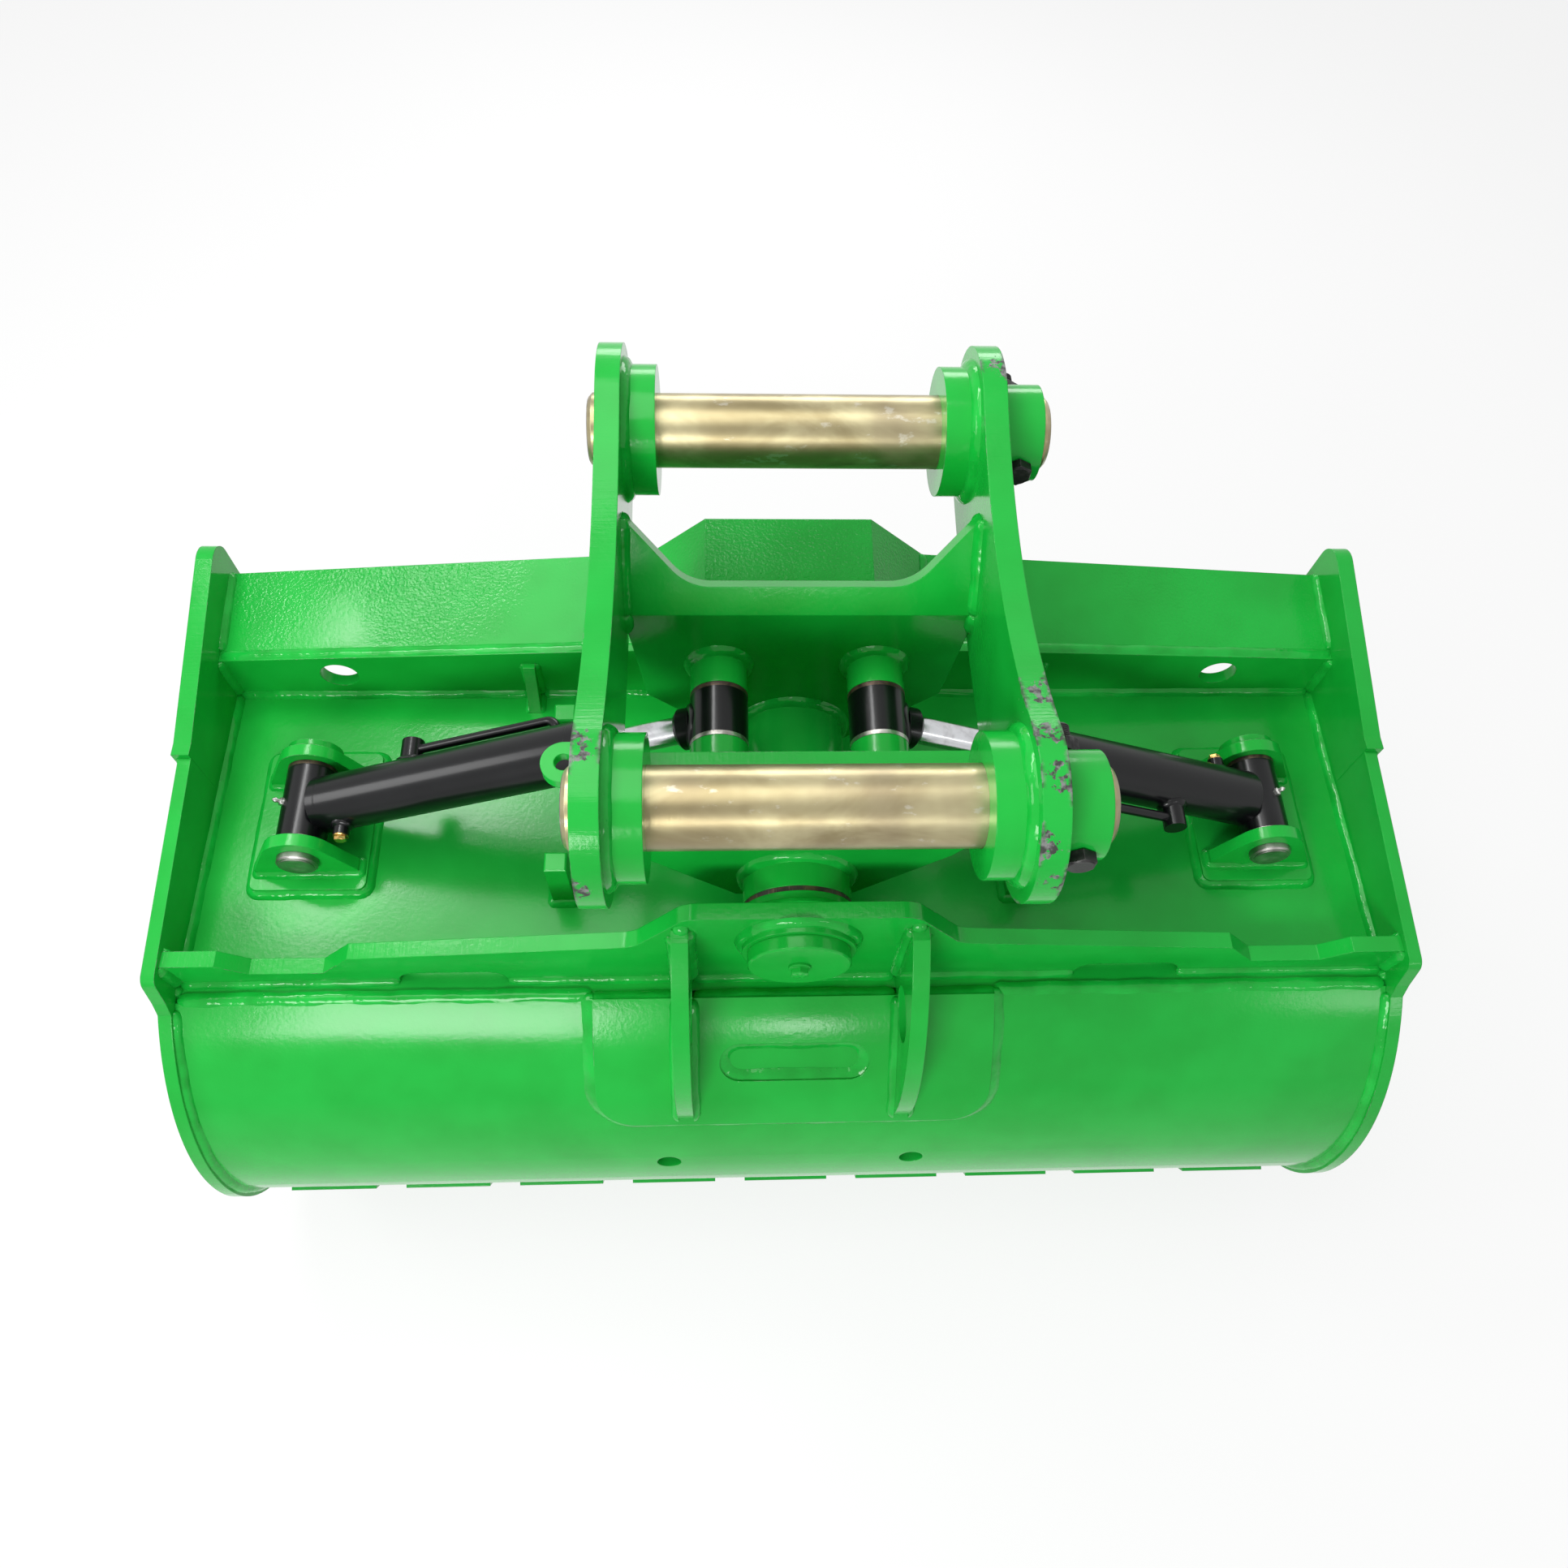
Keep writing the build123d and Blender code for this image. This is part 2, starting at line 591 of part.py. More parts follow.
# Lifting lugs: two round-backed plates from the rear bulkhead down to the doubler
with BuildPart() as lifting_lugs:
    for side in (-1, 1):
        seat = BACK_RADIUS + DOUBLER_T
        with BuildSketch(side_view(side * (LUG_X + LUG_T / 2) - LUG_T / 2)):
            with BuildLine():
                Polyline(
                    back_point(seat, SHELL_START),
                    back_point(BACK_RADIUS, SHELL_START),
                    (-DECK_LEDGE, 0),
                    (0, 0),
                    (0, LUG_TOP_Z),
                    (-DECK_LEDGE, LUG_TOP_Z),
                )
                ThreePointArc(
                    (-DECK_LEDGE, LUG_TOP_Z),
                    (LUG_BULGE_Y, LUG_BULGE_Z),
                    back_point(seat, LUG_FOOT_ANGLE),
                )
                ThreePointArc(
                    back_point(seat, LUG_FOOT_ANGLE),
                    back_point(seat, (LUG_FOOT_ANGLE + SHELL_START) / 2),
                    back_point(seat, SHELL_START),
                )
            make_face()
            with Locations((LUG_HOLE_Y, LUG_HOLE_Z)):
                Circle(LUG_HOLE_RADIUS, mode=Mode.SUBTRACT)
        extrude(amount=LUG_T)
lifting_lugs.part.label = "lifting_lugs"
export_step(lifting_lugs.part, "parts/lifting_lugs.step")

# Rear shaft boss: welded through the rear bulkhead
with BuildPart() as rear_shaft_boss:
    bar(
        along_y(0, REAR_BOSS_NEAR, TILT_Z),
        SHAFT_BOSS_RADIUS,
        REAR_BOSS_FAR - REAR_BOSS_NEAR,
        SHAFT_RADIUS + FIT,
    )
rear_shaft_boss.part.label = "rear_shaft_boss"
export_step(rear_shaft_boss.part, "parts/rear_shaft_boss.step")

# Front shaft boss: welded to the tower's heel face
with BuildPart() as front_shaft_boss:
    boss_near = HUB_FAR + END_GAP + THRUST_T + END_GAP
    bar(
        along_y(0, boss_near, TILT_Z),
        SHAFT_BOSS_RADIUS,
        FRONT_Y - boss_near,
        SHAFT_RADIUS + FIT,
    )
front_shaft_boss.part.label = "front_shaft_boss"
export_step(front_shaft_boss.part, "parts/front_shaft_boss.step")

# Thrust rings between the fixed bosses and the turning hub
with BuildPart() as thrust_rings:
    for start in (REAR_BOSS_FAR, HUB_FAR + END_GAP):
        bar(along_y(0, start, TILT_Z), THRUST_RADIUS, THRUST_T + END_GAP, SHAFT_RADIUS + FIT)
thrust_rings.part.label = "thrust_rings"
export_step(thrust_rings.part, "parts/thrust_rings.step")

# Tilt shaft: fixed in both bosses
with BuildPart() as tilt_shaft:
    bar(along_y(0, REAR_BOSS_NEAR, TILT_Z), SHAFT_RADIUS, FRONT_Y + FRONT_T - REAR_BOSS_NEAR)
    bar(along_y(0, REAR_BOSS_NEAR, TILT_Z), CAP_BOLT_RADIUS, CAP_BOLT_LENGTH, mode=Mode.SUBTRACT)
tilt_shaft.part.label = "tilt_shaft"
export_step(tilt_shaft.part, "parts/tilt_shaft.step")

# Shaft cap: a thick disc that holds the shaft in, on one central bolt
with BuildPart() as shaft_cap:
    bar(along_y(0, REAR_BOSS_NEAR - CAP_T, TILT_Z), CAP_RADIUS, CAP_T, CAP_BOLT_RADIUS + FIT)
    chamfer(shaft_cap.edges().group_by(Axis.Y)[0].sort_by(SortBy.LENGTH)[-1], CAP_CHAMFER)
shaft_cap.part.label = "shaft_cap"
export_step(shaft_cap.part, "parts/shaft_cap.step")

# Cap bolt with its washer
with BuildPart() as cap_bolt:
    head_y = REAR_BOSS_NEAR - CAP_T - CAP_WASHER_T
    bar(along_y(0, head_y, TILT_Z), CAP_WASHER_RADIUS, CAP_WASHER_T)
    hexagon(along_y(0, head_y - CAP_HEAD_T, TILT_Z), CAP_HEAD_AF, CAP_HEAD_T)
    bar(along_y(0, head_y, TILT_Z), CAP_BOLT_RADIUS, CAP_WASHER_T + CAP_T + CAP_BOLT_LENGTH - FIT)
cap_bolt.part.label = "cap_bolt"
export_step(cap_bolt.part, "parts/cap_bolt.step")

# Pads under the cylinder lugs
pad_middle = CYLINDER_Y + BASE_LUG_BOSS_T / 2
with BuildPart() as lug_pads:
    with BuildSketch(top_view(0)) as outline:
        with Locations((-BASE_PIN_X, pad_middle), (BASE_PIN_X, pad_middle)):
            RectangleRounded(PAD_WIDTH, PAD_LENGTH, CORNER_RADIUS / 3)
    extrude(amount=PAD_T)
lug_pads.part.label = "lug_pads"
export_step(lug_pads.part, "parts/lug_pads.step")

# Cylinder lugs: a near and a far cheek on each pad, each with a round top
lug_near = CYLINDER_Y - BASE_EYE_TOTAL / 2 - END_GAP - BASE_LUG_T
lug_far = CYLINDER_Y + BASE_EYE_TOTAL / 2 + END_GAP
with BuildPart() as cylinder_lugs:
    for side in (-1, 1):
        for start in (lug_near, lug_far):
            with BuildSketch(end_view(start + BASE_LUG_T)):
                with Locations((side * BASE_PIN_X, BASE_PIN_Z)):
                    Circle(BASE_LUG_RADIUS)
                with BuildLine():
                    # Each flank leaves the round top BASE_LUG_FLANK degrees above level
                    lean_x = BASE_LUG_RADIUS * math.cos(math.radians(BASE_LUG_FLANK))
                    lean_z = BASE_PIN_Z + BASE_LUG_RADIUS * math.sin(math.radians(BASE_LUG_FLANK))
                    Polyline(
                        (side * BASE_PIN_X - BASE_LUG_FOOT / 2, PAD_T),
                        (side * BASE_PIN_X + BASE_LUG_FOOT / 2, PAD_T),
                        (side * BASE_PIN_X + BASE_LUG_FOOT / 2, PAD_T * 2),
                        (side * BASE_PIN_X + lean_x, lean_z),
                        (side * BASE_PIN_X - lean_x, lean_z),
                        (side * BASE_PIN_X - BASE_LUG_FOOT / 2, PAD_T * 2),
                        close=True,
                    )
                make_face()
            extrude(amount=BASE_LUG_T)
        bar(along_y(side * BASE_PIN_X, lug_far + BASE_LUG_T, BASE_PIN_Z), BASE_LUG_BOSS, BASE_LUG_BOSS_T)
        bore_start = along_y(side * BASE_PIN_X, lug_near, BASE_PIN_Z)
        bore_length = lug_far + BASE_LUG_T + BASE_LUG_BOSS_T - lug_near
        bar(bore_start, BASE_PIN_RADIUS + FIT, bore_length, mode=Mode.SUBTRACT)
cylinder_lugs.part.label = "cylinder_lugs"
export_step(cylinder_lugs.part, "parts/cylinder_lugs.step")

# Base pins: a headed pin through both lugs of each cylinder
for name, side in (("left", -1), ("right", 1)):
    with BuildPart() as base_pin:
        bar(along_y(side * BASE_PIN_X, lug_near - PIN_HEAD_T, BASE_PIN_Z), PIN_HEAD_RADIUS, PIN_HEAD_T)
        chamfer(base_pin.edges().group_by(Axis.Y)[0], CAP_CHAMFER)
        bar(along_y(side * BASE_PIN_X, lug_near, BASE_PIN_Z), BASE_PIN_RADIUS, bore_length)
    base_pin.part.label = f"{name}_base_pin"
    export_step(base_pin.part, f"parts/{name}_base_pin.step")

# Stop posts: four short blocks on the deck that the ears meet at full tilt
with BuildPart() as stop_posts:
    for side in (-1, 1):
        for start in (STOP_NEAR_Y, STOP_FAR_Y):
            with BuildSketch(top_view(0)):
                with Locations((side * (STOP_X + STOP_WIDTH / 2), start + STOP_DEPTH / 2)):
                    Rectangle(STOP_WIDTH, STOP_DEPTH)
            extrude(amount=STOP_Z)
    chamfer(stop_posts.edges().group_by(Axis.Z)[-1], CAP_CHAMFER)
stop_posts.part.label = "stop_posts"
export_step(stop_posts.part, "parts/stop_posts.step")

# Ears: each carries both hitch pins; a hollow top edge and a full belly between two round ends
ear_direction = (0, PIN_HIGH_Y - PIN_LOW_Y, PIN_HIGH_Z - PIN_LOW_Z)
waist_radius = ((PIN_SPAN / 2) ** 2 / (EAR_RADIUS - EAR_WAIST) - EAR_RADIUS - EAR_WAIST) / 2
belly_radius = ((PIN_SPAN / 2) ** 2 + EAR_BELLY**2 - EAR_RADIUS**2) / (2 * (EAR_BELLY - EAR_RADIUS))
waist_reach = EAR_RADIUS / (EAR_RADIUS + waist_radius)
belly_reach = EAR_RADIUS / (belly_radius - EAR_RADIUS)
top_near = (PIN_SPAN / 2 * waist_reach, (EAR_WAIST + waist_radius) * waist_reach)
low_near = (-PIN_SPAN / 2 * belly_reach, -(belly_radius - EAR_BELLY) * belly_reach)
for name, side in (("left", -1), ("right", 1)):
    ear_plane = Plane(
        origin=(side * EAR_INNER_X, Y0 + PIN_LOW_Y, Z0 + PIN_LOW_Z),
        x_dir=ear_direction,
        z_dir=(1, 0, 0),
    )
    with BuildPart() as ear:
        with BuildSketch(ear_plane):
            with BuildLine():
                top_far = (PIN_SPAN - top_near[0], top_near[1])
                low_far = (PIN_SPAN - low_near[0], low_near[1])
                ThreePointArc(top_near, (PIN_SPAN / 2, EAR_WAIST), top_far)
                ThreePointArc(top_far, (PIN_SPAN + EAR_RADIUS, 0), low_far)
                ThreePointArc(low_far, (PIN_SPAN / 2, -EAR_BELLY), low_near)
                ThreePointArc(low_near, (-EAR_RADIUS, 0), top_near)
            make_face()
            with Locations((0, 0), (PIN_SPAN, 0)):
                Circle(PIN_RADIUS + FIT, mode=Mode.SUBTRACT)
        extrude(amount=side * EAR_T)
    ear.part.label = f"{name}_ear"
    export_step(ear.part, f"parts/{name}_ear.step")

# Ear bosses: thick rings inside the ears that set the gap for the dipper and the link
boss_length = EAR_INNER_X - PIN_GAP / 2
with BuildPart() as ear_bosses:
    for pin_y, pin_z in ((PIN_LOW_Y, PIN_LOW_Z), (PIN_HIGH_Y, PIN_HIGH_Z)):
        for start in (-EAR_INNER_X, PIN_GAP / 2):
            bar(along_x(start, pin_y, pin_z), EAR_BOSS_RADIUS, boss_length, PIN_RADIUS + FIT)
ear_bosses.part.label = "ear_bosses"
export_step(ear_bosses.part, "parts/ear_bosses.step")

# Pin collars: outside the right ear, each drilled across for the bolt that holds its pin
with BuildPart() as pin_collars:
    collar_middle = EAR_OUTER_X + COLLAR_LENGTH / 2
    for pin_y, pin_z in ((PIN_LOW_Y, PIN_LOW_Z), (PIN_HIGH_Y, PIN_HIGH_Z)):
        bar(along_x(EAR_OUTER_X, pin_y, pin_z), COLLAR_RADIUS, COLLAR_LENGTH, PIN_RADIUS + FIT)
        bar(
            along_y(collar_middle, pin_y - COLLAR_RADIUS, pin_z),
            PIN_BOLT_RADIUS + FIT,
            2 * COLLAR_RADIUS,
            mode=Mode.SUBTRACT,
        )
pin_collars.part.label = "pin_collars"
export_step(pin_collars.part, "parts/pin_collars.step")

# Hitch pins: they run through both ears, both bosses and the collar
pin_left = -EAR_OUTER_X - PIN_TAIL
pin_length = 2 * EAR_OUTER_X + PIN_TAIL + COLLAR_LENGTH + PIN_NOSE
for name, pin_y, pin_z in (("lower", PIN_LOW_Y, PIN_LOW_Z), ("upper", PIN_HIGH_Y, PIN_HIGH_Z)):
    with BuildPart() as hitch_pin:
        bar(along_x(pin_left, pin_y, pin_z), PIN_RADIUS, pin_length)
        chamfer(hitch_pin.edges().filter_by(GeomType.CIRCLE), PIN_CHAMFER)
        bar(
            along_y(collar_middle, pin_y - PIN_RADIUS, pin_z),
            PIN_BOLT_RADIUS + FIT,
            2 * PIN_RADIUS,
            mode=Mode.SUBTRACT,
        )
    hitch_pin.part.label = f"{name}_hitch_pin"
    export_step(hitch_pin.part, f"parts/{name}_hitch_pin.step")

# Pin bolts, from the heel side through collar and pin, and the nuts on their far ends
bolt_seat = COLLAR_RADIUS + FIT
bolt_length = 2 * bolt_seat + PIN_BOLT_TAIL
with BuildPart() as pin_bolts:
    for pin_y, pin_z in ((PIN_LOW_Y, PIN_LOW_Z), (PIN_HIGH_Y, PIN_HIGH_Z)):
        bar(along_y(collar_middle, pin_y - bolt_seat, pin_z), PIN_BOLT_RADIUS, bolt_length)
        head_place = along_y(collar_middle, pin_y - bolt_seat - PIN_BOLT_HEAD, pin_z)
        hexagon(head_place, PIN_BOLT_AF, PIN_BOLT_HEAD)
pin_bolts.part.label = "pin_bolts"
export_step(pin_bolts.part, "parts/pin_bolts.step")

with BuildPart() as pin_nuts:
    for pin_y, pin_z in ((PIN_LOW_Y, PIN_LOW_Z), (PIN_HIGH_Y, PIN_HIGH_Z)):
        hexagon(along_y(collar_middle, pin_y + bolt_seat, pin_z), PIN_BOLT_AF, PIN_NUT_T)
        bar(
            along_y(collar_middle, pin_y + bolt_seat, pin_z),
            PIN_BOLT_RADIUS + FIT,
            PIN_NUT_T,
            mode=Mode.SUBTRACT,
        )
pin_nuts.part.label = "pin_nuts"
export_step(pin_nuts.part, "parts/pin_nuts.step")

# Front cross plate: upright at the hub, bent towards the mouth above, with a hollow top edge
mitre = CROSS_T * math.tan(math.radians(BEND_ANGLE / 2))
lean_y, lean_z = math.sin(math.radians(BEND_ANGLE)), math.cos(math.radians(BEND_ANGLE))
horn_y, horn_z = FRONT_CROSS_Y + CROSS_HORN * lean_y, BEND_Z + CROSS_HORN * lean_z
with BuildPart() as front_cross_plate:
    with BuildSketch(side_view(-EAR_INNER_X)):
        with BuildLine():
            Polyline(
                (FRONT_CROSS_Y, CROSS_NECK_Z),
                (FRONT_CROSS_Y + CROSS_T, CROSS_NECK_Z),
                (FRONT_CROSS_Y + CROSS_T, BEND_Z - mitre),
                (horn_y + CROSS_T * lean_z, horn_z - CROSS_T * lean_y),
                (horn_y, horn_z),
                (FRONT_CROSS_Y, BEND_Z),
                close=True,
            )
        make_face()
    extrude(amount=2 * EAR_INNER_X)
    with BuildSketch(end_view(FRONT_CROSS_Y + CROSS_T)):
        with BuildLine():
            Polyline(
                (CROSS_NECK_X, CROSS_NECK_Z),
                (CROSS_FLANK_X, CROSS_KNEE_Z),
                (EAR_INNER_X, BEND_Z - CORNER_RADIUS),
                (EAR_INNER_X, CROSS_NECK_Z),
                close=True,
            )
        make_face()
        mirror(about=Plane.YZ)
    extrude(amount=CROSS_T, mode=Mode.SUBTRACT)
    leaning = Plane(
        origin=(0, Y0 + FRONT_CROSS_Y, Z0 + BEND_Z), x_dir=(1, 0, 0), z_dir=(0, -lean_z, lean_y)
    )
    with BuildSketch(leaning) as hollow:
        with BuildLine():
            Polyline(
                (-EAR_INNER_X, CROSS_HORN),
                (-CROSS_DIP_X, CROSS_TOP),
                (CROSS_DIP_X, CROSS_TOP),
                (EAR_INNER_X, CROSS_HORN),
                close=True,
            )
        make_face()
        dip_corners = hollow.vertices().filter_by(lambda v: abs(v.Y - CROSS_TOP) < 0.01)
        fillet(dip_corners, CROSS_CURVE)
    extrude(amount=-CROSS_T, mode=Mode.SUBTRACT)
    bar(along_y(0, FRONT_CROSS_Y, TILT_Z), HUB_RADIUS + FIT, CROSS_T, mode=Mode.SUBTRACT)
    for side in (-1, 1):
        pin_place = along_y(side * ROD_PIN_X, FRONT_CROSS_Y, ROD_PIN_Z)
        bar(pin_place, ROD_PIN_RADIUS + FIT, CROSS_T, mode=Mode.SUBTRACT)
front_cross_plate.part.label = "front_cross_plate"
export_step(front_cross_plate.part, "parts/front_cross_plate.step")

# Rear cross plate: between the ears behind the lower pin, tapering down to the hub
with BuildPart() as rear_cross_plate:
    with BuildSketch(end_view(REAR_CROSS_Y + CROSS_T)):
        with BuildLine():
            Polyline(
                (0, REAR_NECK_Z),
                (REAR_NECK_X, REAR_NECK_Z),
                (CROSS_FLANK_X, CROSS_KNEE_Z - CROSS_T),
                (EAR_INNER_X, CROSS_KNEE_Z),
                (EAR_INNER_X, REAR_CROSS_TOP),
                (0, REAR_CROSS_TOP),
                close=True,
            )
        make_face()
        mirror(about=Plane.YZ)
    extrude(amount=CROSS_T)
    bar(along_y(0, REAR_CROSS_Y, TILT_Z), HUB_RADIUS + FIT, CROSS_T, mode=Mode.SUBTRACT)
    for side in (-1, 1):
        pin_place = along_y(side * ROD_PIN_X, REAR_CROSS_Y, ROD_PIN_Z)
        bar(pin_place, ROD_PIN_RADIUS + FIT, CROSS_T, mode=Mode.SUBTRACT)
rear_cross_plate.part.label = "rear_cross_plate"
export_step(rear_cross_plate.part, "parts/rear_cross_plate.step")

# Hub tube: it turns on the tilt shaft and carries both cross plates
with BuildPart() as hub_tube:
    bar(along_y(0, HUB_NEAR, TILT_Z), HUB_RADIUS, HUB_FAR - HUB_NEAR, HUB_BORE)
hub_tube.part.label = "hub_tube"
export_step(hub_tube.part, "parts/hub_tube.step")

with BuildPart() as hub_bushes:
    for start in (HUB_NEAR, HUB_FAR - HUB_BUSH_LENGTH):
        bar(along_y(0, start, TILT_Z), HUB_BORE - FIT, HUB_BUSH_LENGTH, SHAFT_RADIUS + FIT)
hub_bushes.part.label = "hub_bushes"
export_step(hub_bushes.part, "parts/hub_bushes.step")

# Rod bosses: a long and a short boss for each rod pin, one on each cross plate
near_boss_start = REAR_CROSS_Y + CROSS_T
near_boss_end = CYLINDER_Y - ROD_EYE_TOTAL / 2 - END_GAP
far_boss_start = CYLINDER_Y + ROD_EYE_TOTAL / 2 + END_GAP
with BuildPart() as rod_bosses:
    for side in (-1, 1):
        near_place = along_y(side * ROD_PIN_X, near_boss_start, ROD_PIN_Z)
        bar(near_place, ROD_BOSS_RADIUS, near_boss_end - near_boss_start, ROD_PIN_RADIUS + FIT)
        far_place = along_y(side * ROD_PIN_X, far_boss_start, ROD_PIN_Z)
        bar(far_place, ROD_BOSS_RADIUS, FRONT_CROSS_Y - far_boss_start, ROD_PIN_RADIUS + FIT)
rod_bosses.part.label = "rod_bosses"
export_step(rod_bosses.part, "parts/rod_bosses.step")

for name, side in (("left", -1), ("right", 1)):
    with BuildPart() as rod_pin:
        pin_run = FRONT_CROSS_Y + CROSS_T - REAR_CROSS_Y
        bar(along_y(side * ROD_PIN_X, REAR_CROSS_Y, ROD_PIN_Z), ROD_PIN_RADIUS, pin_run)
        head_place = along_y(side * ROD_PIN_X, REAR_CROSS_Y - PIN_HEAD_T, ROD_PIN_Z)
        bar(head_place, PIN_HEAD_RADIUS, PIN_HEAD_T)
    rod_pin.part.label = f"{name}_rod_pin"
    export_step(rod_pin.part, f"parts/{name}_rod_pin.step")

# Hose eye: a small flat ring outside the left ear that guides the hoses
with BuildPart() as hose_eye:
    with BuildSketch(top_view(HOSE_EYE_Z)):
        with Locations((-EAR_OUTER_X - HOSE_EYE_RADIUS, HOSE_EYE_Y)):
            Circle(HOSE_EYE_RADIUS)
        with Locations((-EAR_OUTER_X - HOSE_EYE_RADIUS / 2, HOSE_EYE_Y)):
            Rectangle(HOSE_EYE_RADIUS, 2 * HOSE_EYE_RADIUS)
        with Locations((-EAR_OUTER_X - HOSE_EYE_RADIUS, HOSE_EYE_Y)):
            Circle(HOSE_EYE_HOLE, mode=Mode.SUBTRACT)
    extrude(amount=HOSE_EYE_T)
hose_eye.part.label = "hose_eye"
export_step(hose_eye.part, "parts/hose_eye.step")

# Tilt cylinders
eye_half = BASE_EYE_LENGTH / 2
rod_eye_half = ROD_EYE_LENGTH / 2
open_bore = ROD_PIN_RADIUS + OPEN_PIVOT_PLAY
barrel_start = BASE_EYE_RADIUS - EYE_SINK
gland_inner = barrel_start + BARREL_LENGTH - GLAND_LENGTH
for name, side in (("left", -1), ("right", 1)):
    eye_bore = BASE_PIN_RADIUS + FIT + BASE_BUSH_WALL

    # Barrel: the tube and its closed end, shaped to sit on the base eye
    with BuildPart() as barrel:
        bar(cylinder_axis(side, barrel_start), BARREL_RADIUS, BARREL_LENGTH - GLAND_LIP)
        bar(
            cylinder_axis(side, barrel_start + BARREL_END_T + BASE_EYE_RADIUS / 2),
            BARREL_BORE,
            BARREL_LENGTH,
            mode=Mode.SUBTRACT,
        )
        eye_space = along_y(side * BASE_PIN_X, CYLINDER_Y - BARREL_RADIUS, BASE_PIN_Z)
        bar(eye_space, BASE_EYE_RADIUS, 2 * BARREL_RADIUS, mode=Mode.SUBTRACT)
    barrel.part.label = f"{name}_barrel"
    export_step(barrel.part, f"parts/{name}_barrel.step")

    with BuildPart() as base_eye:
        bar(
            along_y(side * BASE_PIN_X, CYLINDER_Y - eye_half, BASE_PIN_Z),
            BASE_EYE_RADIUS,
            BASE_EYE_LENGTH,
            eye_bore,
        )
    base_eye.part.label = f"{name}_base_eye"
    export_step(base_eye.part, f"parts/{name}_base_eye.step")

    # Base bushes: a flanged bush from each end of the base eye
    with BuildPart() as base_bushes:
        for start in (CYLINDER_Y - eye_half - EYE_RING_T, CYLINDER_Y + eye_half):
            place = along_y(side * BASE_PIN_X, start, BASE_PIN_Z)
            bar(place, BASE_EYE_RADIUS, EYE_RING_T, BASE_PIN_RADIUS + FIT)
        for start in (CYLINDER_Y - eye_half, CYLINDER_Y + eye_half - BASE_EYE_LENGTH / 3):
            place = along_y(side * BASE_PIN_X, start, BASE_PIN_Z)
            bar(place, eye_bore - FIT, BASE_EYE_LENGTH / 3, BASE_PIN_RADIUS + FIT)
    base_bushes.part.label = f"{name}_base_bushes"
    export_step(base_bushes.part, f"parts/{name}_base_bushes.step")

    # Gland: closes the barrel's mouth round the rod, with a lip as wide as the barrel
    with BuildPart() as gland:
        bar(
            cylinder_axis(side, gland_inner),
            BARREL_BORE - FIT,
            GLAND_LENGTH - GLAND_LIP,
            ROD_RADIUS + FIT,
        )
        bar(
            cylinder_axis(side, gland_inner + GLAND_LENGTH - GLAND_LIP),
            BARREL_RADIUS,
            GLAND_LIP - GLAND_SHOULDER,
            ROD_RADIUS + FIT,
        )
        bar(
            cylinder_axis(side, gland_inner + GLAND_LENGTH - GLAND_SHOULDER),
            BARREL_RADIUS - GLAND_SHOULDER,
            GLAND_SHOULDER,
            ROD_RADIUS + FIT,
        )
    gland.part.label = f"{name}_gland"
    export_step(gland.part, f"parts/{name}_gland.step")

    # Piston and rod: one bar ends in the piston, the other end in the rod eye's neck
    rod_end = CYL_LENGTH - ROD_EYE_RADIUS + EYE_SINK
    with BuildPart() as piston:
        bar(cylinder_axis(side, PISTON_BACK), BARREL_BORE - FIT, PISTON_LENGTH, ROD_RADIUS)
    piston.part.label = f"{name}_piston"
    export_step(piston.part, f"parts/{name}_piston.step")

    with BuildPart() as rod:
        bar(cylinder_axis(side, PISTON_BACK), ROD_RADIUS, rod_end - ROD_NECK_LENGTH - PISTON_BACK)
    rod.part.label = f"{name}_rod"
    export_step(rod.part, f"parts/{name}_rod.step")

    # Rod eye: wider inside than its pin, because this pivot of the linkage is left open
    with BuildPart() as rod_eye:
        bar(cylinder_axis(side, rod_end - ROD_NECK_LENGTH), ROD_NECK_RADIUS, ROD_NECK_LENGTH)
        chamfer(rod_eye.edges().filter_by(GeomType.CIRCLE).sort_by(Axis.Z)[0], CAP_CHAMFER * 2)
        bar(
            along_y(side * ROD_PIN_X, CYLINDER_Y - rod_eye_half, ROD_PIN_Z),
            ROD_EYE_RADIUS,
            ROD_EYE_LENGTH,
        )
        bar(
            along_y(side * ROD_PIN_X, CYLINDER_Y - rod_eye_half, ROD_PIN_Z),
            open_bore,
            ROD_EYE_LENGTH,
            mode=Mode.SUBTRACT,
        )
    rod_eye.part.label = f"{name}_rod_eye"
    export_step(rod_eye.part, f"parts/{name}_rod_eye.step")

    with BuildPart() as rod_rings:
        for start in (CYLINDER_Y - rod_eye_half - EYE_RING_T, CYLINDER_Y + rod_eye_half):
            place = along_y(side * ROD_PIN_X, start, ROD_PIN_Z)
            bar(place, ROD_EYE_RADIUS, EYE_RING_T, open_bore)
    rod_rings.part.label = f"{name}_rod_rings"
    export_step(rod_rings.part, f"parts/{name}_rod_rings.step")

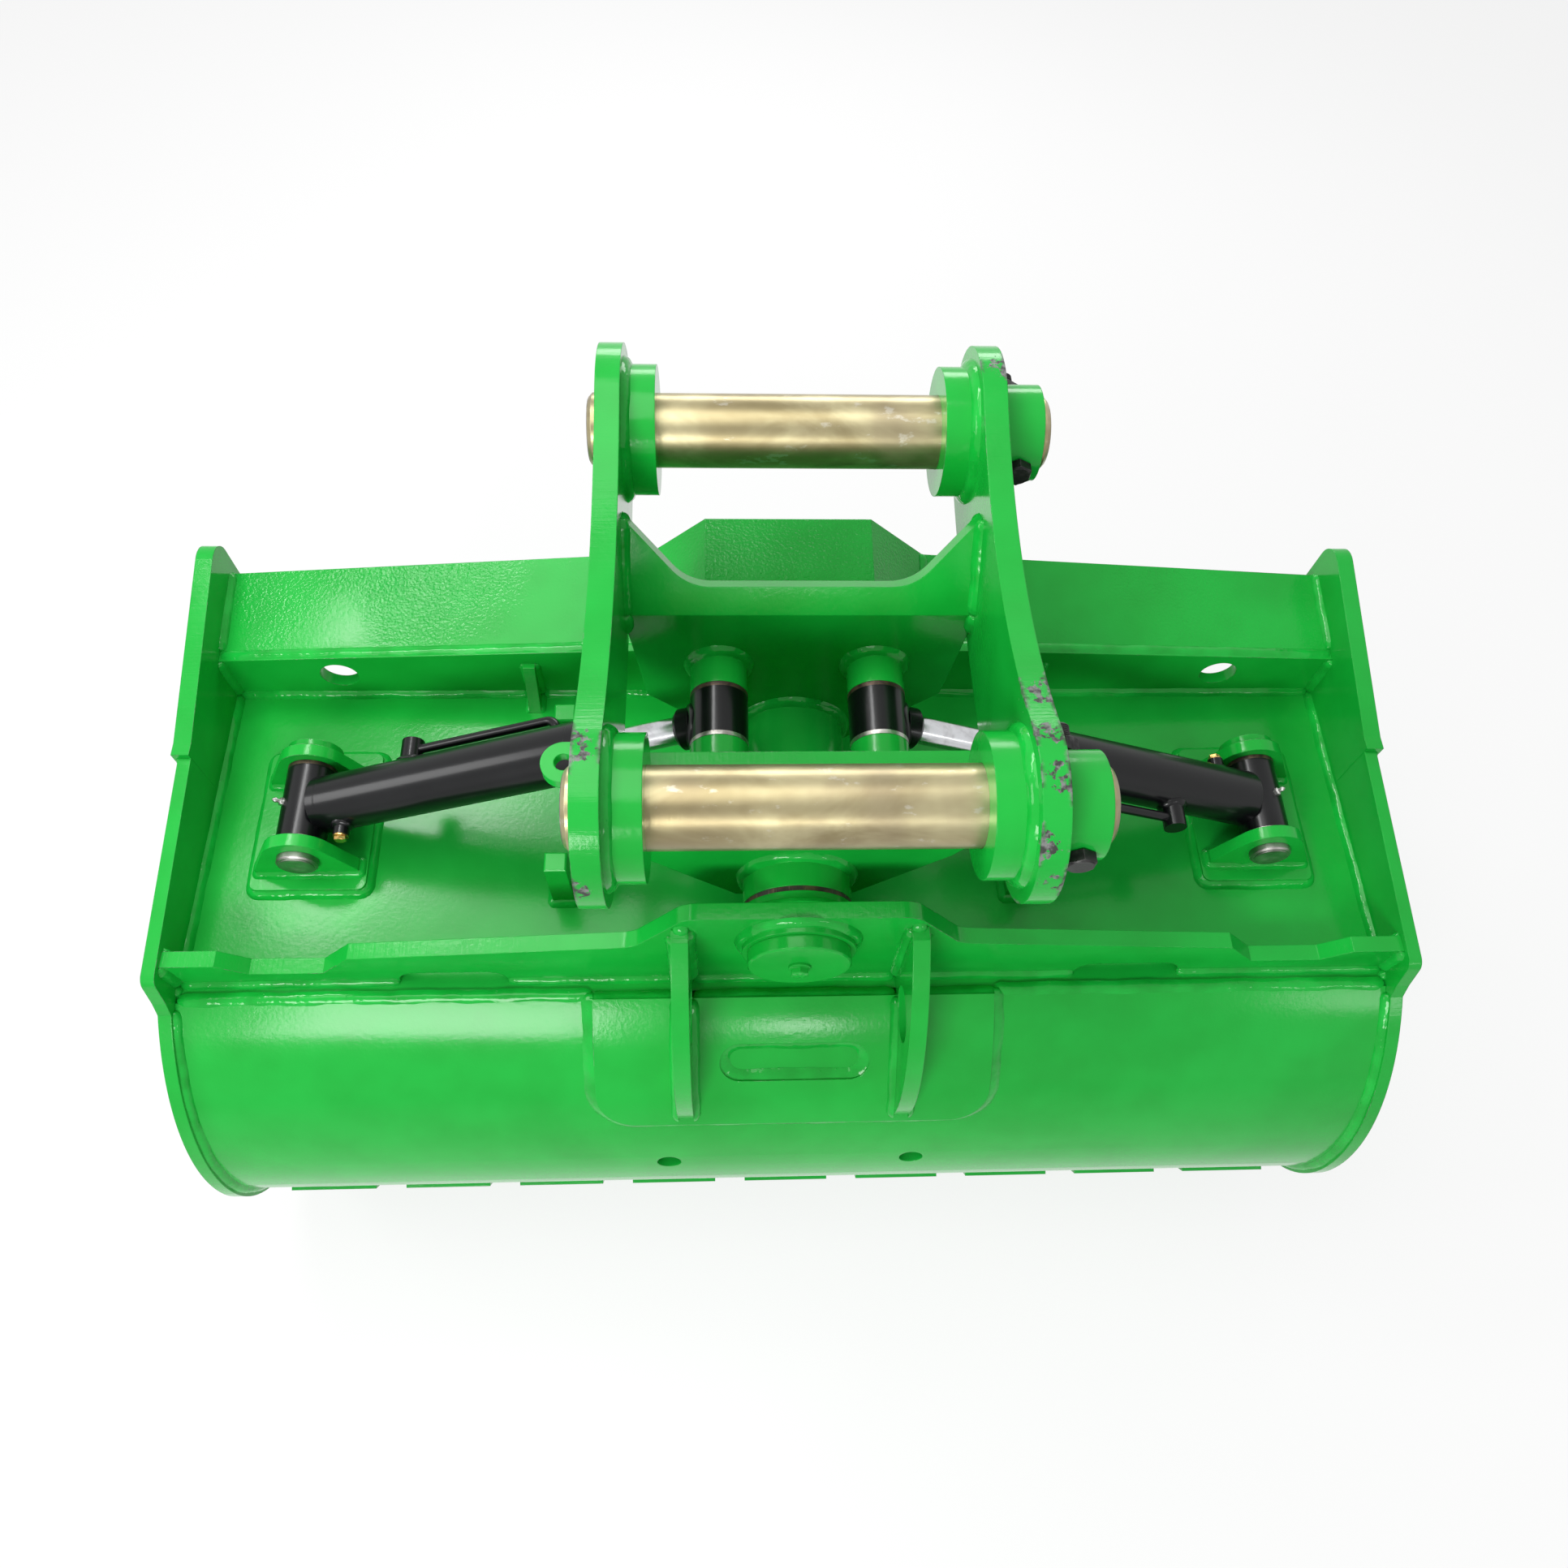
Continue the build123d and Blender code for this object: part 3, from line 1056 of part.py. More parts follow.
    # Ports: the two cylinders are the same part turned over, so the pipe is on the mouth side
    # of the left one and on the heel side of the right one
    with BuildPart() as ports:
        out = -side
        pipe_line = BARREL_RADIUS + PIPE_STANDOFF
        port_seat = BARREL_RADIUS - PORT_SINK
        with BuildLine() as pipe_path:
            start = cylinder_axis(side, PORT_PIPE_S).from_local_coords((out * pipe_line, 0, 0))
            far = cylinder_axis(side, PORT_GLAND_S).from_local_coords((out * pipe_line, 0, 0))
            down = cylinder_axis(side, PORT_GLAND_S).from_local_coords((out * port_seat, 0, 0))
            FilletPolyline(start, far, down, radius=PIPE_STANDOFF - PORT_SINK)
        with BuildSketch(Plane(origin=start, z_dir=far - start)):
            Circle(PIPE_RADIUS)
        sweep(path=pipe_path.line)
        block = cylinder_axis(side, PORT_PIPE_S).from_local_coords((out * port_seat, 0, 0))
        block_out = (0, out, 0)
        bar(Plane(origin=block, z_dir=block_out), PORT_RADIUS, PORT_RISE)
        base_port = cylinder_axis(side, PORT_BASE_S).from_local_coords((-out * port_seat, 0, 0))
        bar(Plane(origin=base_port, z_dir=(0, -out, 0)), PLUG_RADIUS, PORT_RISE / 2)
        bar(cylinder_axis(side, 0), BARREL_RADIUS, CYL_LENGTH, mode=Mode.SUBTRACT)
    ports.part.label = f"{name}_ports"
    export_step(ports.part, f"parts/{name}_ports.step")
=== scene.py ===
import math

import bpy
import numpy as np
from mathutils import Matrix, Vector


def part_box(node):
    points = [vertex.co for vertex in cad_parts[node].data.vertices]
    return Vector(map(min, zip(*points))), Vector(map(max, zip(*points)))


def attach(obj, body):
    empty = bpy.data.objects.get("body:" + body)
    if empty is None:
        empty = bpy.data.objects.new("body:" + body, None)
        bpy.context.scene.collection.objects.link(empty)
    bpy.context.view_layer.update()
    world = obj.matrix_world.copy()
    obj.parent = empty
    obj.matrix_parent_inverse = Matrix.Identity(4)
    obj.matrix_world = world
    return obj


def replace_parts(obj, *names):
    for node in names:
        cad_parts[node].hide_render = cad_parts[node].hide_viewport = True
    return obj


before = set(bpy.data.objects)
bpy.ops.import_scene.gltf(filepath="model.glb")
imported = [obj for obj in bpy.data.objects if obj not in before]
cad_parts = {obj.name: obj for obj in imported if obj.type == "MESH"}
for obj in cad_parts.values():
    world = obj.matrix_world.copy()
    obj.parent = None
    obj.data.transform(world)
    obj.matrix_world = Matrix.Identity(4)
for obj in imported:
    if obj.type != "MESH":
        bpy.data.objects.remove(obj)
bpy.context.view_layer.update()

# An excavator's tilt bucket: rolled and welded plate in glossy green enamel, black cylinders and plated
# pins. The CAD solids carry the shape. Here they get their finishes, and the pieces that are too small for
# CAD: weld beads, grease nipples, plugs, threads and turned pin faces.

DECK_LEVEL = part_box("deck")[1].z
HEEL_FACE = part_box("rear_bulkhead")[0].y


def place(x, y, z):
    """Millimetres from the rear bulkhead's heel face and the deck, to metres in the frame."""
    return np.stack(np.broadcast_arrays(x / 1000, y / 1000 + HEEL_FACE, z / 1000 + DECK_LEVEL), axis=-1)


# Meshes


def rows_skin(points, closed):
    """Faces of a grid of points: each row is a closed ring, and the rows join on, or end in flat caps.

    Gives the points, every face's corners in one row, and how many corners each face has.
    """
    rows, ring = points.shape[:2]
    row = np.arange(rows if closed else rows - 1)[:, None]
    col = np.arange(ring)[None, :]
    after = (row + 1) % rows
    beside = (col + 1) % ring
    sides = [row * ring + col, row * ring + beside, after * ring + beside, after * ring + col]
    corners = np.stack(sides, axis=-1).reshape(-1)
    sizes = np.full(len(corners) // 4, 4)
    if not closed:
        first = np.arange(ring)[::-1]
        corners = np.concatenate([corners, first, first[::-1] + (rows - 1) * ring])
        sizes = np.append(sizes, [ring, ring])
    return points.reshape(-1, 3), corners, sizes


def piece(name, body, finish, skins, crease=40):
    """One object from its skins, at the origin, riding on a CAD body.

    Edges that turn by more than crease degrees stay sharp.
    """
    points = np.concatenate([skin[0] for skin in skins])
    starts = np.cumsum([0] + [len(skin[0]) for skin in skins])
    corners = np.concatenate([skin[1] + start for skin, start in zip(skins, starts)])
    sizes = np.concatenate([skin[2] for skin in skins])
    mesh = bpy.data.meshes.new(name)
    mesh.vertices.add(len(points))
    mesh.loops.add(len(corners))
    mesh.polygons.add(len(sizes))
    mesh.vertices.foreach_set("co", points.astype(np.float32).reshape(-1))
    mesh.loops.foreach_set("vertex_index", corners.astype(np.int32))
    mesh.polygons.foreach_set("loop_start", (np.cumsum(sizes) - sizes).astype(np.int32))
    mesh.update(calc_edges=True)
    mesh.validate()
    mesh.polygons.foreach_set("use_smooth", np.ones(len(sizes), bool))
    mesh.set_sharp_from_angle(angle=math.radians(crease))
    mesh.materials.append(finish)
    thing = bpy.data.objects.new(name, mesh)
    bpy.context.scene.collection.objects.link(thing)
    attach(thing, body)
    return thing


def turned(profile, centre, axis, sides=48, hexagon=None, hollow=False):
    """A profile of (radius, height) turned round an axis, its first and last rings closed by flat caps.

    Point = centre + height*axis + radius*(cos t * across + sin t * up). Where hexagon is a row of True
    and False, the True rows are six-sided: their radius is divided by the cosine of the angle from the
    nearest flat, so that the profile's radius is to the flats. Where hollow, the profile's end joins
    its start, and there are no caps.
    """
    profile = np.array(profile, float)
    axis = np.array(axis, float) / np.linalg.norm(axis)
    helper = np.array([0, 0, 1.0]) if abs(axis[2]) < 0.9 else np.array([1.0, 0, 0])
    across = np.cross(helper, axis)
    across /= np.linalg.norm(across)
    up = np.cross(axis, across)
    angle = np.linspace(0, 2 * np.pi, sides, endpoint=False)
    flat = (angle + np.pi / 6) % (np.pi / 3) - np.pi / 6
    spread = np.ones((len(profile), sides))
    if hexagon is not None:
        spread[np.array(hexagon)] = 1 / np.cos(flat)
    radius = profile[:, 0:1] * spread
    ring = np.cos(angle)[:, None] * across + np.sin(angle)[:, None] * up
    points = np.array(centre) + profile[:, 1, None, None] * axis + radius[..., None] * ring[None]
    return rows_skin(points, hollow)


# Weld beads. STEP is how far apart the points along a bead stand, and COARSE is the same for beads in the
# bowl and under the heel and floor.

STEP, COARSE = 0.0016, 0.0025


def wander(length, seed, waves=(0.110, 0.063, 0.031)):
    """A slow, seeded up and down between about -1 and 1: three sines of the length, with random phases."""
    phase = np.random.default_rng(seed).uniform(0, 2 * np.pi, len(waves))
    swing = np.sin(2 * np.pi * length[:, None] / np.array(waves) + phase)
    return swing @ np.array([0.5, 0.3, 0.2])


def bead(path, plate_a, plate_b, leg=0.0085, seed=1, closed=False, pitch=0.0085, crown=0.15, outward=None):
    """A fillet weld laid in the corner between two plates.

    The path runs along the corner; plate_a and plate_b point away from it over each plate. Across the
    bead u goes from 0 to 1, and the face is path + leg*((1-u)*a + u*b), lifted outwards by
    crown*leg*sin(pi*u) and by the scales that each puddle leaves: the square root of |sin| of the
    length over the pitch, with the middle of the bead ahead of its toes. Legs and crown wander slowly.
    The bead's back lies in the corner, just inside both plates.
    """
    path = np.asarray(path, float)
    count = len(path)
    side_a = np.broadcast_to(np.asarray(plate_a, float), (count, 3))
    side_b = np.broadcast_to(np.asarray(plate_b, float), (count, 3))
    step = np.linalg.norm(np.diff(path, axis=0), axis=1)
    length = np.concatenate([[0], np.cumsum(step)])
    whole = length[-1] + (step[0] if closed else 0)
    u = np.linspace(0, 1, 7)
    leg_a = leg * (1 + 0.09 * wander(length, seed))
    leg_b = leg * (1 + 0.09 * wander(length, seed + 71))
    lift = crown * leg * (1 + 0.22 * wander(length, seed + 29))
    fade = np.ones(count)
    if not closed:
        nearest = np.minimum(length, whole - length)
        fade = 0.45 + 0.55 * np.sqrt(np.clip(nearest / leg, 0, 1))
    arch = np.sin(np.pi * u)
    lead = 0.9 * arch[None, :]
    turns = max(1, round(whole / pitch)) / whole
    scale = np.sqrt(np.abs(np.sin(np.pi * (length[:, None] * turns - lead)))) - 0.6
    outward = side_a + side_b if outward is None else np.broadcast_to(outward, (count, 3))
    outward = outward / np.linalg.norm(outward, axis=1)[:, None]
    rise = (lift[:, None] * arch + 0.024 * leg * scale * (0.2 + 0.8 * arch)) * fade[:, None]
    rise = rise - 0.04 * leg * (1 - arch)
    reach_a = (leg_a * fade)[:, None] * (1 - u)
    reach_b = (leg_b * fade)[:, None] * u
    face = (
        path[:, None]
        + reach_a[..., None] * side_a[:, None]
        + reach_b[..., None] * side_b[:, None]
        + rise[..., None] * outward[:, None]
    )
    back = (path - 0.0006 * outward)[:, None]
    points = np.concatenate([face, back], axis=1)
    if np.dot(np.cross(face[0, -1] - face[0, 0], outward[0]), path[1] - path[0]) > 0:
        points = points[:, ::-1]
    return rows_skin(points, closed)


def straight(start, end, step=STEP):
    """Points along a straight line, a step apart."""
    start, end = np.asarray(start, float), np.asarray(end, float)
    count = max(4, int(np.linalg.norm(end - start) / step))
    return start + np.linspace(0, 1, count)[:, None] * (end - start)


def round_path(centre, axis, radius, start=0.0, sweep=360.0, step=STEP):
    """Points round a circle, a step apart, and the direction outwards at each point.

    The axis is X, Y or Z. Round an axis that leans, the circle comes out a little smaller than its radius.
    """
    axis = np.array(axis, float)
    helper = np.array([0, 0, 1.0]) if abs(axis[2]) < 0.9 else np.array([1.0, 0, 0])
    across = np.cross(helper, axis)
    up = np.cross(axis, across)
    count = max(12, int(radius * math.radians(sweep) / step))
    closed = sweep >= 360
    turn = math.radians(start) + np.linspace(0, math.radians(sweep), count, endpoint=not closed)
    out = np.cos(turn)[:, None] * across + np.sin(turn)[:, None] * up
    return np.array(centre) + radius * out, out


def rounded_rectangle(low, high, corner, arc, step):
    """Points round a rectangle with rounded corners, arc points to each, and the directions outwards."""
    (x0, y0), (x1, y1) = low, high
    corners = [
        (x1 - corner, y0 + corner, -90), (x1 - corner, y1 - corner, 0),
        (x0 + corner, y1 - corner, 90), (x0 + corner, y0 + corner, 180),
    ]
    spots, outs = [], []
    for number, (cx, cy, angle) in enumerate(corners):
        turn = np.radians(angle + np.linspace(0, 90, arc))
        out = np.stack([np.cos(turn), np.sin(turn)], axis=-1)
        spot = np.array([cx, cy]) + corner * out
        ahead = np.array(corners[(number + 1) % 4][:2]) + corner * out[-1]
        count = max(2, int(np.linalg.norm(ahead - spot[-1]) / step))
        run = (spot[-1] + np.linspace(0, 1, count)[:, None] * (ahead - spot[-1]))[1:-1]
        spots += [spot, run]
        outs += [out, np.broadcast_to(out[-1], run.shape)]
    return np.concatenate(spots), np.concatenate(outs)


X, Y, Z = np.eye(3)

# Places of the plates and bosses in millimetres, as in the part: x across, y from the rear bulkhead's heel
# face, z above the deck

HALF = 750
SHELL_RADIUS, SHELL_AXIS_Y, SHELL_AXIS_Z = 340.4, 152.4, -290
HEEL_RADIUS, HEEL_AXIS_Y = 270, 82
SHELL_START, SHELL_THICK, RIM_END = 31.27, 14, 446
FRONT_FACE, LIP_FACE = 415, 431
CYLINDER_Y = 210
BASE_PIN, ROD_PIN = (612, 57), (90, 267)
CYLINDER_RUN = np.array([-522, 0, 210]) / math.hypot(522, 210)
HITCH_PINS = ((14, 444), (487, 434))


def out_at(turn):
    """Directions out of the shell, at turns in radians from straight up towards the heel."""
    return np.stack([0 * turn, -np.sin(turn), np.cos(turn)], axis=-1)


def round_axis(x, axis_y, radius, out):
    """Points at a radius in millimetres, in those directions, from an axis of the shell."""
    return place(x, axis_y + radius * out[:, 1], SHELL_AXIS_Z + radius * out[:, 2])


def back_curve(x, radius, first, last, step=STEP):
    """Points and outward directions on the back curve, from first to last degrees from straight up."""
    count = max(6, int(radius * math.radians(abs(last - first)) / 1000 / step))
    out = out_at(np.radians(np.linspace(first, last, count)))
    return round_axis(x, SHELL_AXIS_Y, radius, out), out


def shell_rim(x, inwards, step):
    """Points and outward directions along the whole shell, moved inwards: back curve, heel curve, floor."""
    back, back_out = back_curve(x, SHELL_RADIUS - inwards, SHELL_START + 1.5, 90, step)
    reach = HEEL_RADIUS - inwards
    heel_out = out_at(np.radians(np.linspace(90, 180, int(reach * math.pi / 2000 / step)))[1:])
    heel = round_axis(x, HEEL_AXIS_Y, reach, heel_out)
    floor = straight(heel[-1], place(x, RIM_END, SHELL_AXIS_Z - reach), step)[1:]
    path = np.concatenate([back, heel, floor])
    return path, np.concatenate([back_out, heel_out, np.broadcast_to(-Z, floor.shape)])


def plate_bead(outline, outward, leg, seed, closed):
    """A nearly flat bead along an outline on the rolled shell, given as x and the arc from straight up.

    One toe is up the plate's edge and the other 1.6 times as far out over the shell.
    """
    turn = outline[:, 1] / SHELL_RADIUS
    up = out_at(turn)
    spots = round_axis(outline[:, 0], SHELL_AXIS_Y, SHELL_RADIUS, up)
    out = outward[:, :1] * X + outward[:, 1:] * out_at(turn + math.pi / 2)
    return bead(spots, 1.6 * out, up, leg, seed, closed=closed, crown=0.05)


def butt_bead(path, across, outward, width, seed, crown=0.35, closed=False):
    """A bead over the seam between two plates in line: the same face, its toes opposite each other."""
    across = np.asarray(across, float)
    return bead(path, -across, across, width / 2, seed, closed, crown=crown, outward=outward)


# Finishes

PAINT_GLOSS = 0.24
GREEN_DEEP, GREEN_BRIGHT = (0.0052, 0.335, 0.030), (0.0080, 0.410, 0.043)
PRIMER_DARK, PRIMER_PALE = (0.040, 0.042, 0.038), (0.20, 0.21, 0.20)
GREASE, BRONZE = (0.030, 0.020, 0.016), (0.100, 0.062, 0.042)
CYLINDER_LINE = float(place(0, CYLINDER_Y, 0)[1])


class Value:
    """A number that varies over a surface: a socket in a finish. Its sums and products add Math nodes."""

    def __init__(self, finish, socket):
        self.finish, self.socket = finish, socket

    def math(self, operation, first, second):
        return self.finish.node("ShaderNodeMath", {"operation": operation}, {0: first, 1: second})

    def __add__(self, other):
        return self.math("ADD", self, other)

    def __sub__(self, other):
        return self.math("SUBTRACT", self, other)

    def __rsub__(self, other):
        return self.math("SUBTRACT", other, self)

    def __mul__(self, other):
        return self.math("MULTIPLY", self, other)

    def above(self, low, high):
        """0 below low, 1 above high, and a smooth step between."""
        inputs = {"Value": self, "From Min": low, "From Max": high}
        return self.finish.node("ShaderNodeMapRange", {"interpolation_type": "SMOOTHSTEP"}, inputs)

    __radd__ = __add__
    __rmul__ = __mul__


class Finish:
    """A material on Object coordinates, or the world; node() is the one method that adds nodes to it."""

    def __init__(self, name, family=bpy.data.materials):
        self.owner = family.new(name)
        self.owner.use_nodes = True
        self.tree = self.owner.node_tree
        self.tree.nodes.clear()
        self.spot = self.node("ShaderNodeTexCoord", {}, {}, "Object")
        self.facing = self.node("ShaderNodeTexCoord", {}, {}, "Normal")

    def node(self, kind, settings, inputs, output=0):
        """A node of a kind, its settings set first, then each socket given a value or a link."""
        made = self.tree.nodes.new(kind)
        for name, value in settings.items():
            setattr(made, name, value)
        for name, value in inputs.items():
            socket = self.find(made.inputs, name)
            if isinstance(value, Value):
                self.tree.links.new(value.socket, socket)
            elif socket.type == "RGBA" and len(value) == 3:
                socket.default_value = (*value, 1)
            else:
                socket.default_value = value
        return Value(self, self.find(made.outputs, output)) if len(made.outputs) else made

    @staticmethod
    def find(sockets, key):
        """A socket by its number, its identifier or its name."""
        if isinstance(key, int):
            return sockets[key]
        named = [socket for socket in sockets if socket.identifier == key]
        return (named + [socket for socket in sockets if socket.name == key])[0]

    def noise(self, scale, detail=2.0, rough=0.5, stretch=(1, 1, 1), bend=0.0):
        """Cloudy noise, scale waves to a metre, drawn out where stretch is under 1."""
        spot = self.node("ShaderNodeVectorMath", {"operation": "MULTIPLY"}, {0: self.spot, 1: stretch})
        inputs = {"Vector": spot, "Scale": scale, "Detail": detail, "Roughness": rough, "Distortion": bend}
        return self.node("ShaderNodeTexNoise", {}, inputs, "Fac")

    def cells(self, scale):
        """Distance to the nearest of scattered points, scale points to a metre."""
        return self.node("ShaderNodeTexVoronoi", {}, {"Vector": self.spot, "Scale": scale}, "Distance")

    def part_of(self, vector, axis):
        """One of a vector's three numbers."""
        return self.node("ShaderNodeSeparateXYZ", {}, {0: vector}, axis)

    def near(self, point, reach):
        """1 at a point, falling smoothly to 0 at its reach."""
        ends = {0: self.spot, 1: tuple(point)}
        away = self.node("ShaderNodeVectorMath", {"operation": "DISTANCE"}, ends, "Value")
        return 1 - away.above(reach * 0.4, reach)

    def blend(self, factor, first, second):
        """The first colour where factor is 0 and the second where it is 1."""
        inputs = {"Factor_Float": factor, "A_Color": first, "B_Color": second}
        return self.node("ShaderNodeMix", {"data_type": "RGBA"}, inputs, "Result_Color")

    def worn_edges(self, radius):
        """The normal with edges rounded off, and a mask of where it turns: 0 on flats, up to 1 on edges."""
        rounded = self.node("ShaderNodeBevel", {"samples": 6}, {"Radius": radius})
        plain = self.node("ShaderNodeNewGeometry", {}, {}, "Normal")
        pair = {0: rounded, 1: plain}
        agree = self.node("ShaderNodeVectorMath", {"operation": "DOT_PRODUCT"}, pair, "Value")
        return rounded, (1 - agree).above(0.01, 0.16)

    def bump(self, height, depth, normal=None):
        """A height from 0 to 1, depth metres deep, as a normal."""
        inputs = {"Height": height, "Distance": depth, "Strength": 1.0}
        if normal is not None:
            inputs["Normal"] = normal
        return self.node("ShaderNodeBump", {}, inputs)

    def done(self, **sockets):
        """Ends in a Principled shader with these sockets set or linked, and gives the material."""
        inputs = {name.replace("_", " "): value for name, value in sockets.items()}
        shader = self.node("ShaderNodeBsdfPrincipled", {}, inputs)
        self.node("ShaderNodeOutputMaterial", {}, {"Surface": shader})
        return self.owner


def green_enamel(name, thin=None, scuffs=(), dry=0.0):
    """Thick gloss green enamel over hot rolled plate.

    The coat is uneven in broad clouds, its skin has orange peel, fine grit and a few dust nibs, and on
    edges it thins and chips to grey primer. thin is the plate's thin direction: 0, 1 or 2. The faces
    round the plate's edge were cut by flame and show its drag lines through the paint. Scuffs are
    (point, reach) places where slings have bared the primer, and dry is how much of the spray fell dry,
    as a sparkling grain.
    """
    f = Finish(name)
    rounded, edge = f.worn_edges(0.0016)
    cloud = f.noise(3.1, 3.0, 0.55)
    mottle = f.noise(15.0, 2.0, 0.5)
    peel = f.noise(185.0, 1.0, 0.5)
    grit = f.noise(520.0, 2.0, 0.6)
    nibs = 1 - f.cells(41.0).above(0.03, 0.065)
    height = peel * 0.6 + grit * 0.2 + nibs * 0.25
    if thin is not None:
        stretch = [1.0, 1.0, 1.0]
        stretch[thin] = 0.05
        sideways = f.node("ShaderNodeMath", {"operation": "ABSOLUTE"}, {0: f.part_of(f.facing, thin)})
        cut = 1 - sideways.above(0.25, 0.6)
        height = height + cut * f.noise(330.0, 2.0, 0.6, stretch) * 0.9
    if dry:
        height = height + f.noise(4.0, 2.0, 0.5).above(0.36, 0.6) * f.noise(260.0, 1.0, 0.5) * dry
    shade = (cloud * 0.6 + mottle * 0.4).above(0.3, 0.7)
    base = f.blend(shade, GREEN_DEEP, GREEN_BRIGHT)
    top = f.part_of(f.facing, 2).above(0.5, 0.98)
    dust = top * f.noise(2.3, 3.0, 0.5).above(0.3, 0.8)
    base = f.blend(dust * 0.05, base, (0.20, 0.45, 0.22))
    torn = f.noise(105.0, 4.0, 0.65)
    chip = (edge * f.noise(7.0, 3.0, 0.6) * 1.1 + torn * 0.55).above(0.93, 0.96)
    if scuffs:
        rim = f.worn_edges(0.008)[1]
        ragged = rim * 0.45 + torn * 1.25
        for point, reach in scuffs:
            chip = chip + (f.near(point, reach) * 0.85 + ragged).above(1.47, 1.52)
    chip = f.node("ShaderNodeClamp", {}, {"Value": chip})
    primer = f.blend(f.noise(120.0, 3.0, 0.6).above(0.42, 0.64), PRIMER_DARK, PRIMER_PALE)
    return f.done(
        Base_Color=f.blend(chip, base, primer),
        Roughness=0.115 + 0.06 * mottle + 0.05 * dust + 0.35 * chip,
        Normal=f.bump(height - chip * 0.9, 0.00016, rounded),
        Specular_IOR_Level=PAINT_GLOSS,
    )


def weld_enamel(name):
    """The same green where it pools over weld beads: glossier, with a lump of spatter here and there."""
    f = Finish(name)
    cloud = f.noise(24.0, 2.0, 0.5)
    lump = f.noise(120.0, 1.0, 0.5)
    spatter = 1 - f.cells(75.0).above(0.05, 0.14)
    return f.done(
        Base_Color=f.blend(cloud.above(0.3, 0.7), (0.0052, 0.325, 0.030), (0.0085, 0.420, 0.045)),
        Roughness=0.075 + 0.06 * cloud,
        Normal=f.bump(lump * 0.8 + spatter * 0.5, 0.00055),
        Specular_IOR_Level=PAINT_GLOSS,
    )


def black_enamel(name, lumps=0.0):
    """Satin black over turned tube: a little peel, wiped clouds in its gloss, and paler edges."""
    f = Finish(name)
    rounded, edge = f.worn_edges(0.0012)
    wiped = f.noise(14.0, 3.0, 0.55)
    peel = f.noise(190.0, 1.0, 0.5)
    height = peel * 0.5
    if lumps:
        height = height + f.noise(130.0, 1.0, 0.5) * lumps
    pale = edge * 0.3 + wiped.above(0.4, 0.8) * 0.2
    return f.done(
        Base_Color=f.blend(pale, (0.0022, 0.0024, 0.0030), (0.011, 0.0115, 0.0135)),
        Roughness=0.27 + 0.10 * wiped,
        Normal=f.bump(height, 0.00004, rounded),
        Specular_IOR_Level=0.1,
        Coat_Weight=0.42,
        Coat_Roughness=0.19,
    )


def turned_steel(name, dark, bright, rough, stretch):
    """Bare steel off the lathe: fine tool marks drawn out where stretch is small, with handling stains."""
    f = Finish(name)
    rounded = f.worn_edges(0.0010)[0]
    marks = f.noise(900.0, 2.0, 0.6, stretch)
    stain = f.noise(26.0, 4.0, 0.62)
    return f.done(
        Base_Color=f.blend(stain.above(0.36, 0.66) * 0.7 + marks * 0.3, dark, bright),
        Metallic=1.0 - 0.25 * stain.above(0.56, 0.72),
        Roughness=rough + 0.12 * stain + 0.08 * marks,
        Normal=f.bump(marks, 0.00007, rounded),
    )


def hard_chrome(name):
    """Ground and chromed rod: bright, with the finest grinding lines and a wiped film of oil."""
    f = Finish(name)
    lines = f.noise(1400.0, 1.0, 0.5, (0.1, 1.0, 1.0))
    film = f.noise(38.0, 3.0, 0.6)
    return f.done(
        Base_Color=f.blend(film.above(0.4, 0.7), (0.62, 0.63, 0.65), (0.46, 0.46, 0.47)),
        Metallic=1.0 - 0.06 * film.above(0.5, 0.8),
        Roughness=0.18 + 0.08 * film.above(0.45, 0.8) + 0.03 * lines,
        Normal=f.bump(lines, 0.000006),
    )


def yellow_plate(name):
    """Zinc plate with a yellow passivate on the hitch pins, in gold, olive and brown clouds."""
    f = Finish(name)
    rounded, edge = f.worn_edges(0.0014)
    cloud = f.noise(15.0, 4.0, 0.62, (0.55, 1.0, 1.0), 0.5)
    hue = f.noise(9.0, 3.0, 0.5, (1.0, 0.8, 0.8), 0.4)
    marks = f.noise(800.0, 2.0, 0.6, (1.0, 0.04, 0.04))
    gold = f.blend(cloud.above(0.3, 0.7), (0.27, 0.225, 0.118), (0.47, 0.42, 0.25))
    tarnish = f.blend(hue.above(0.45, 0.7) * 0.5, gold, (0.20, 0.15, 0.09))
    rub = f.noise(60.0, 4.0, 0.65, (0.5, 1.0, 1.0)).above(0.6, 0.68)
    return f.done(
        Base_Color=f.blend(rub * 0.5 + edge * 0.4, tarnish, (0.52, 0.49, 0.42)),
        Metallic=0.92 - 0.2 * hue.above(0.55, 0.7),
        Roughness=0.24 + 0.14 * cloud + 0.05 * marks,
        Normal=f.bump(marks * 0.6 + cloud * 0.4, 0.00008, rounded),
    )


def wear_bronze(name):
    """Brown wear rings and bushes: oiled, scuffed bronze with dark grease in its marks."""
    f = Finish(name)
    marks = f.noise(700.0, 2.0, 0.6, (1.0, 0.05, 1.0))
    grease = f.noise(42.0, 4.0, 0.6)
    base = f.blend(grease.above(0.4, 0.62), (0.115, 0.070, 0.045), (0.028, 0.019, 0.015))
    return f.done(
        Base_Color=f.blend(marks.above(0.62, 0.7) * 0.5, base, (0.32, 0.25, 0.18)),
        Metallic=0.55 - 0.3 * grease.above(0.45, 0.6),
        Roughness=0.34 + 0.16 * grease,
        Normal=f.bump(marks * 0.6 + grease * 0.4, 0.00012),
    )


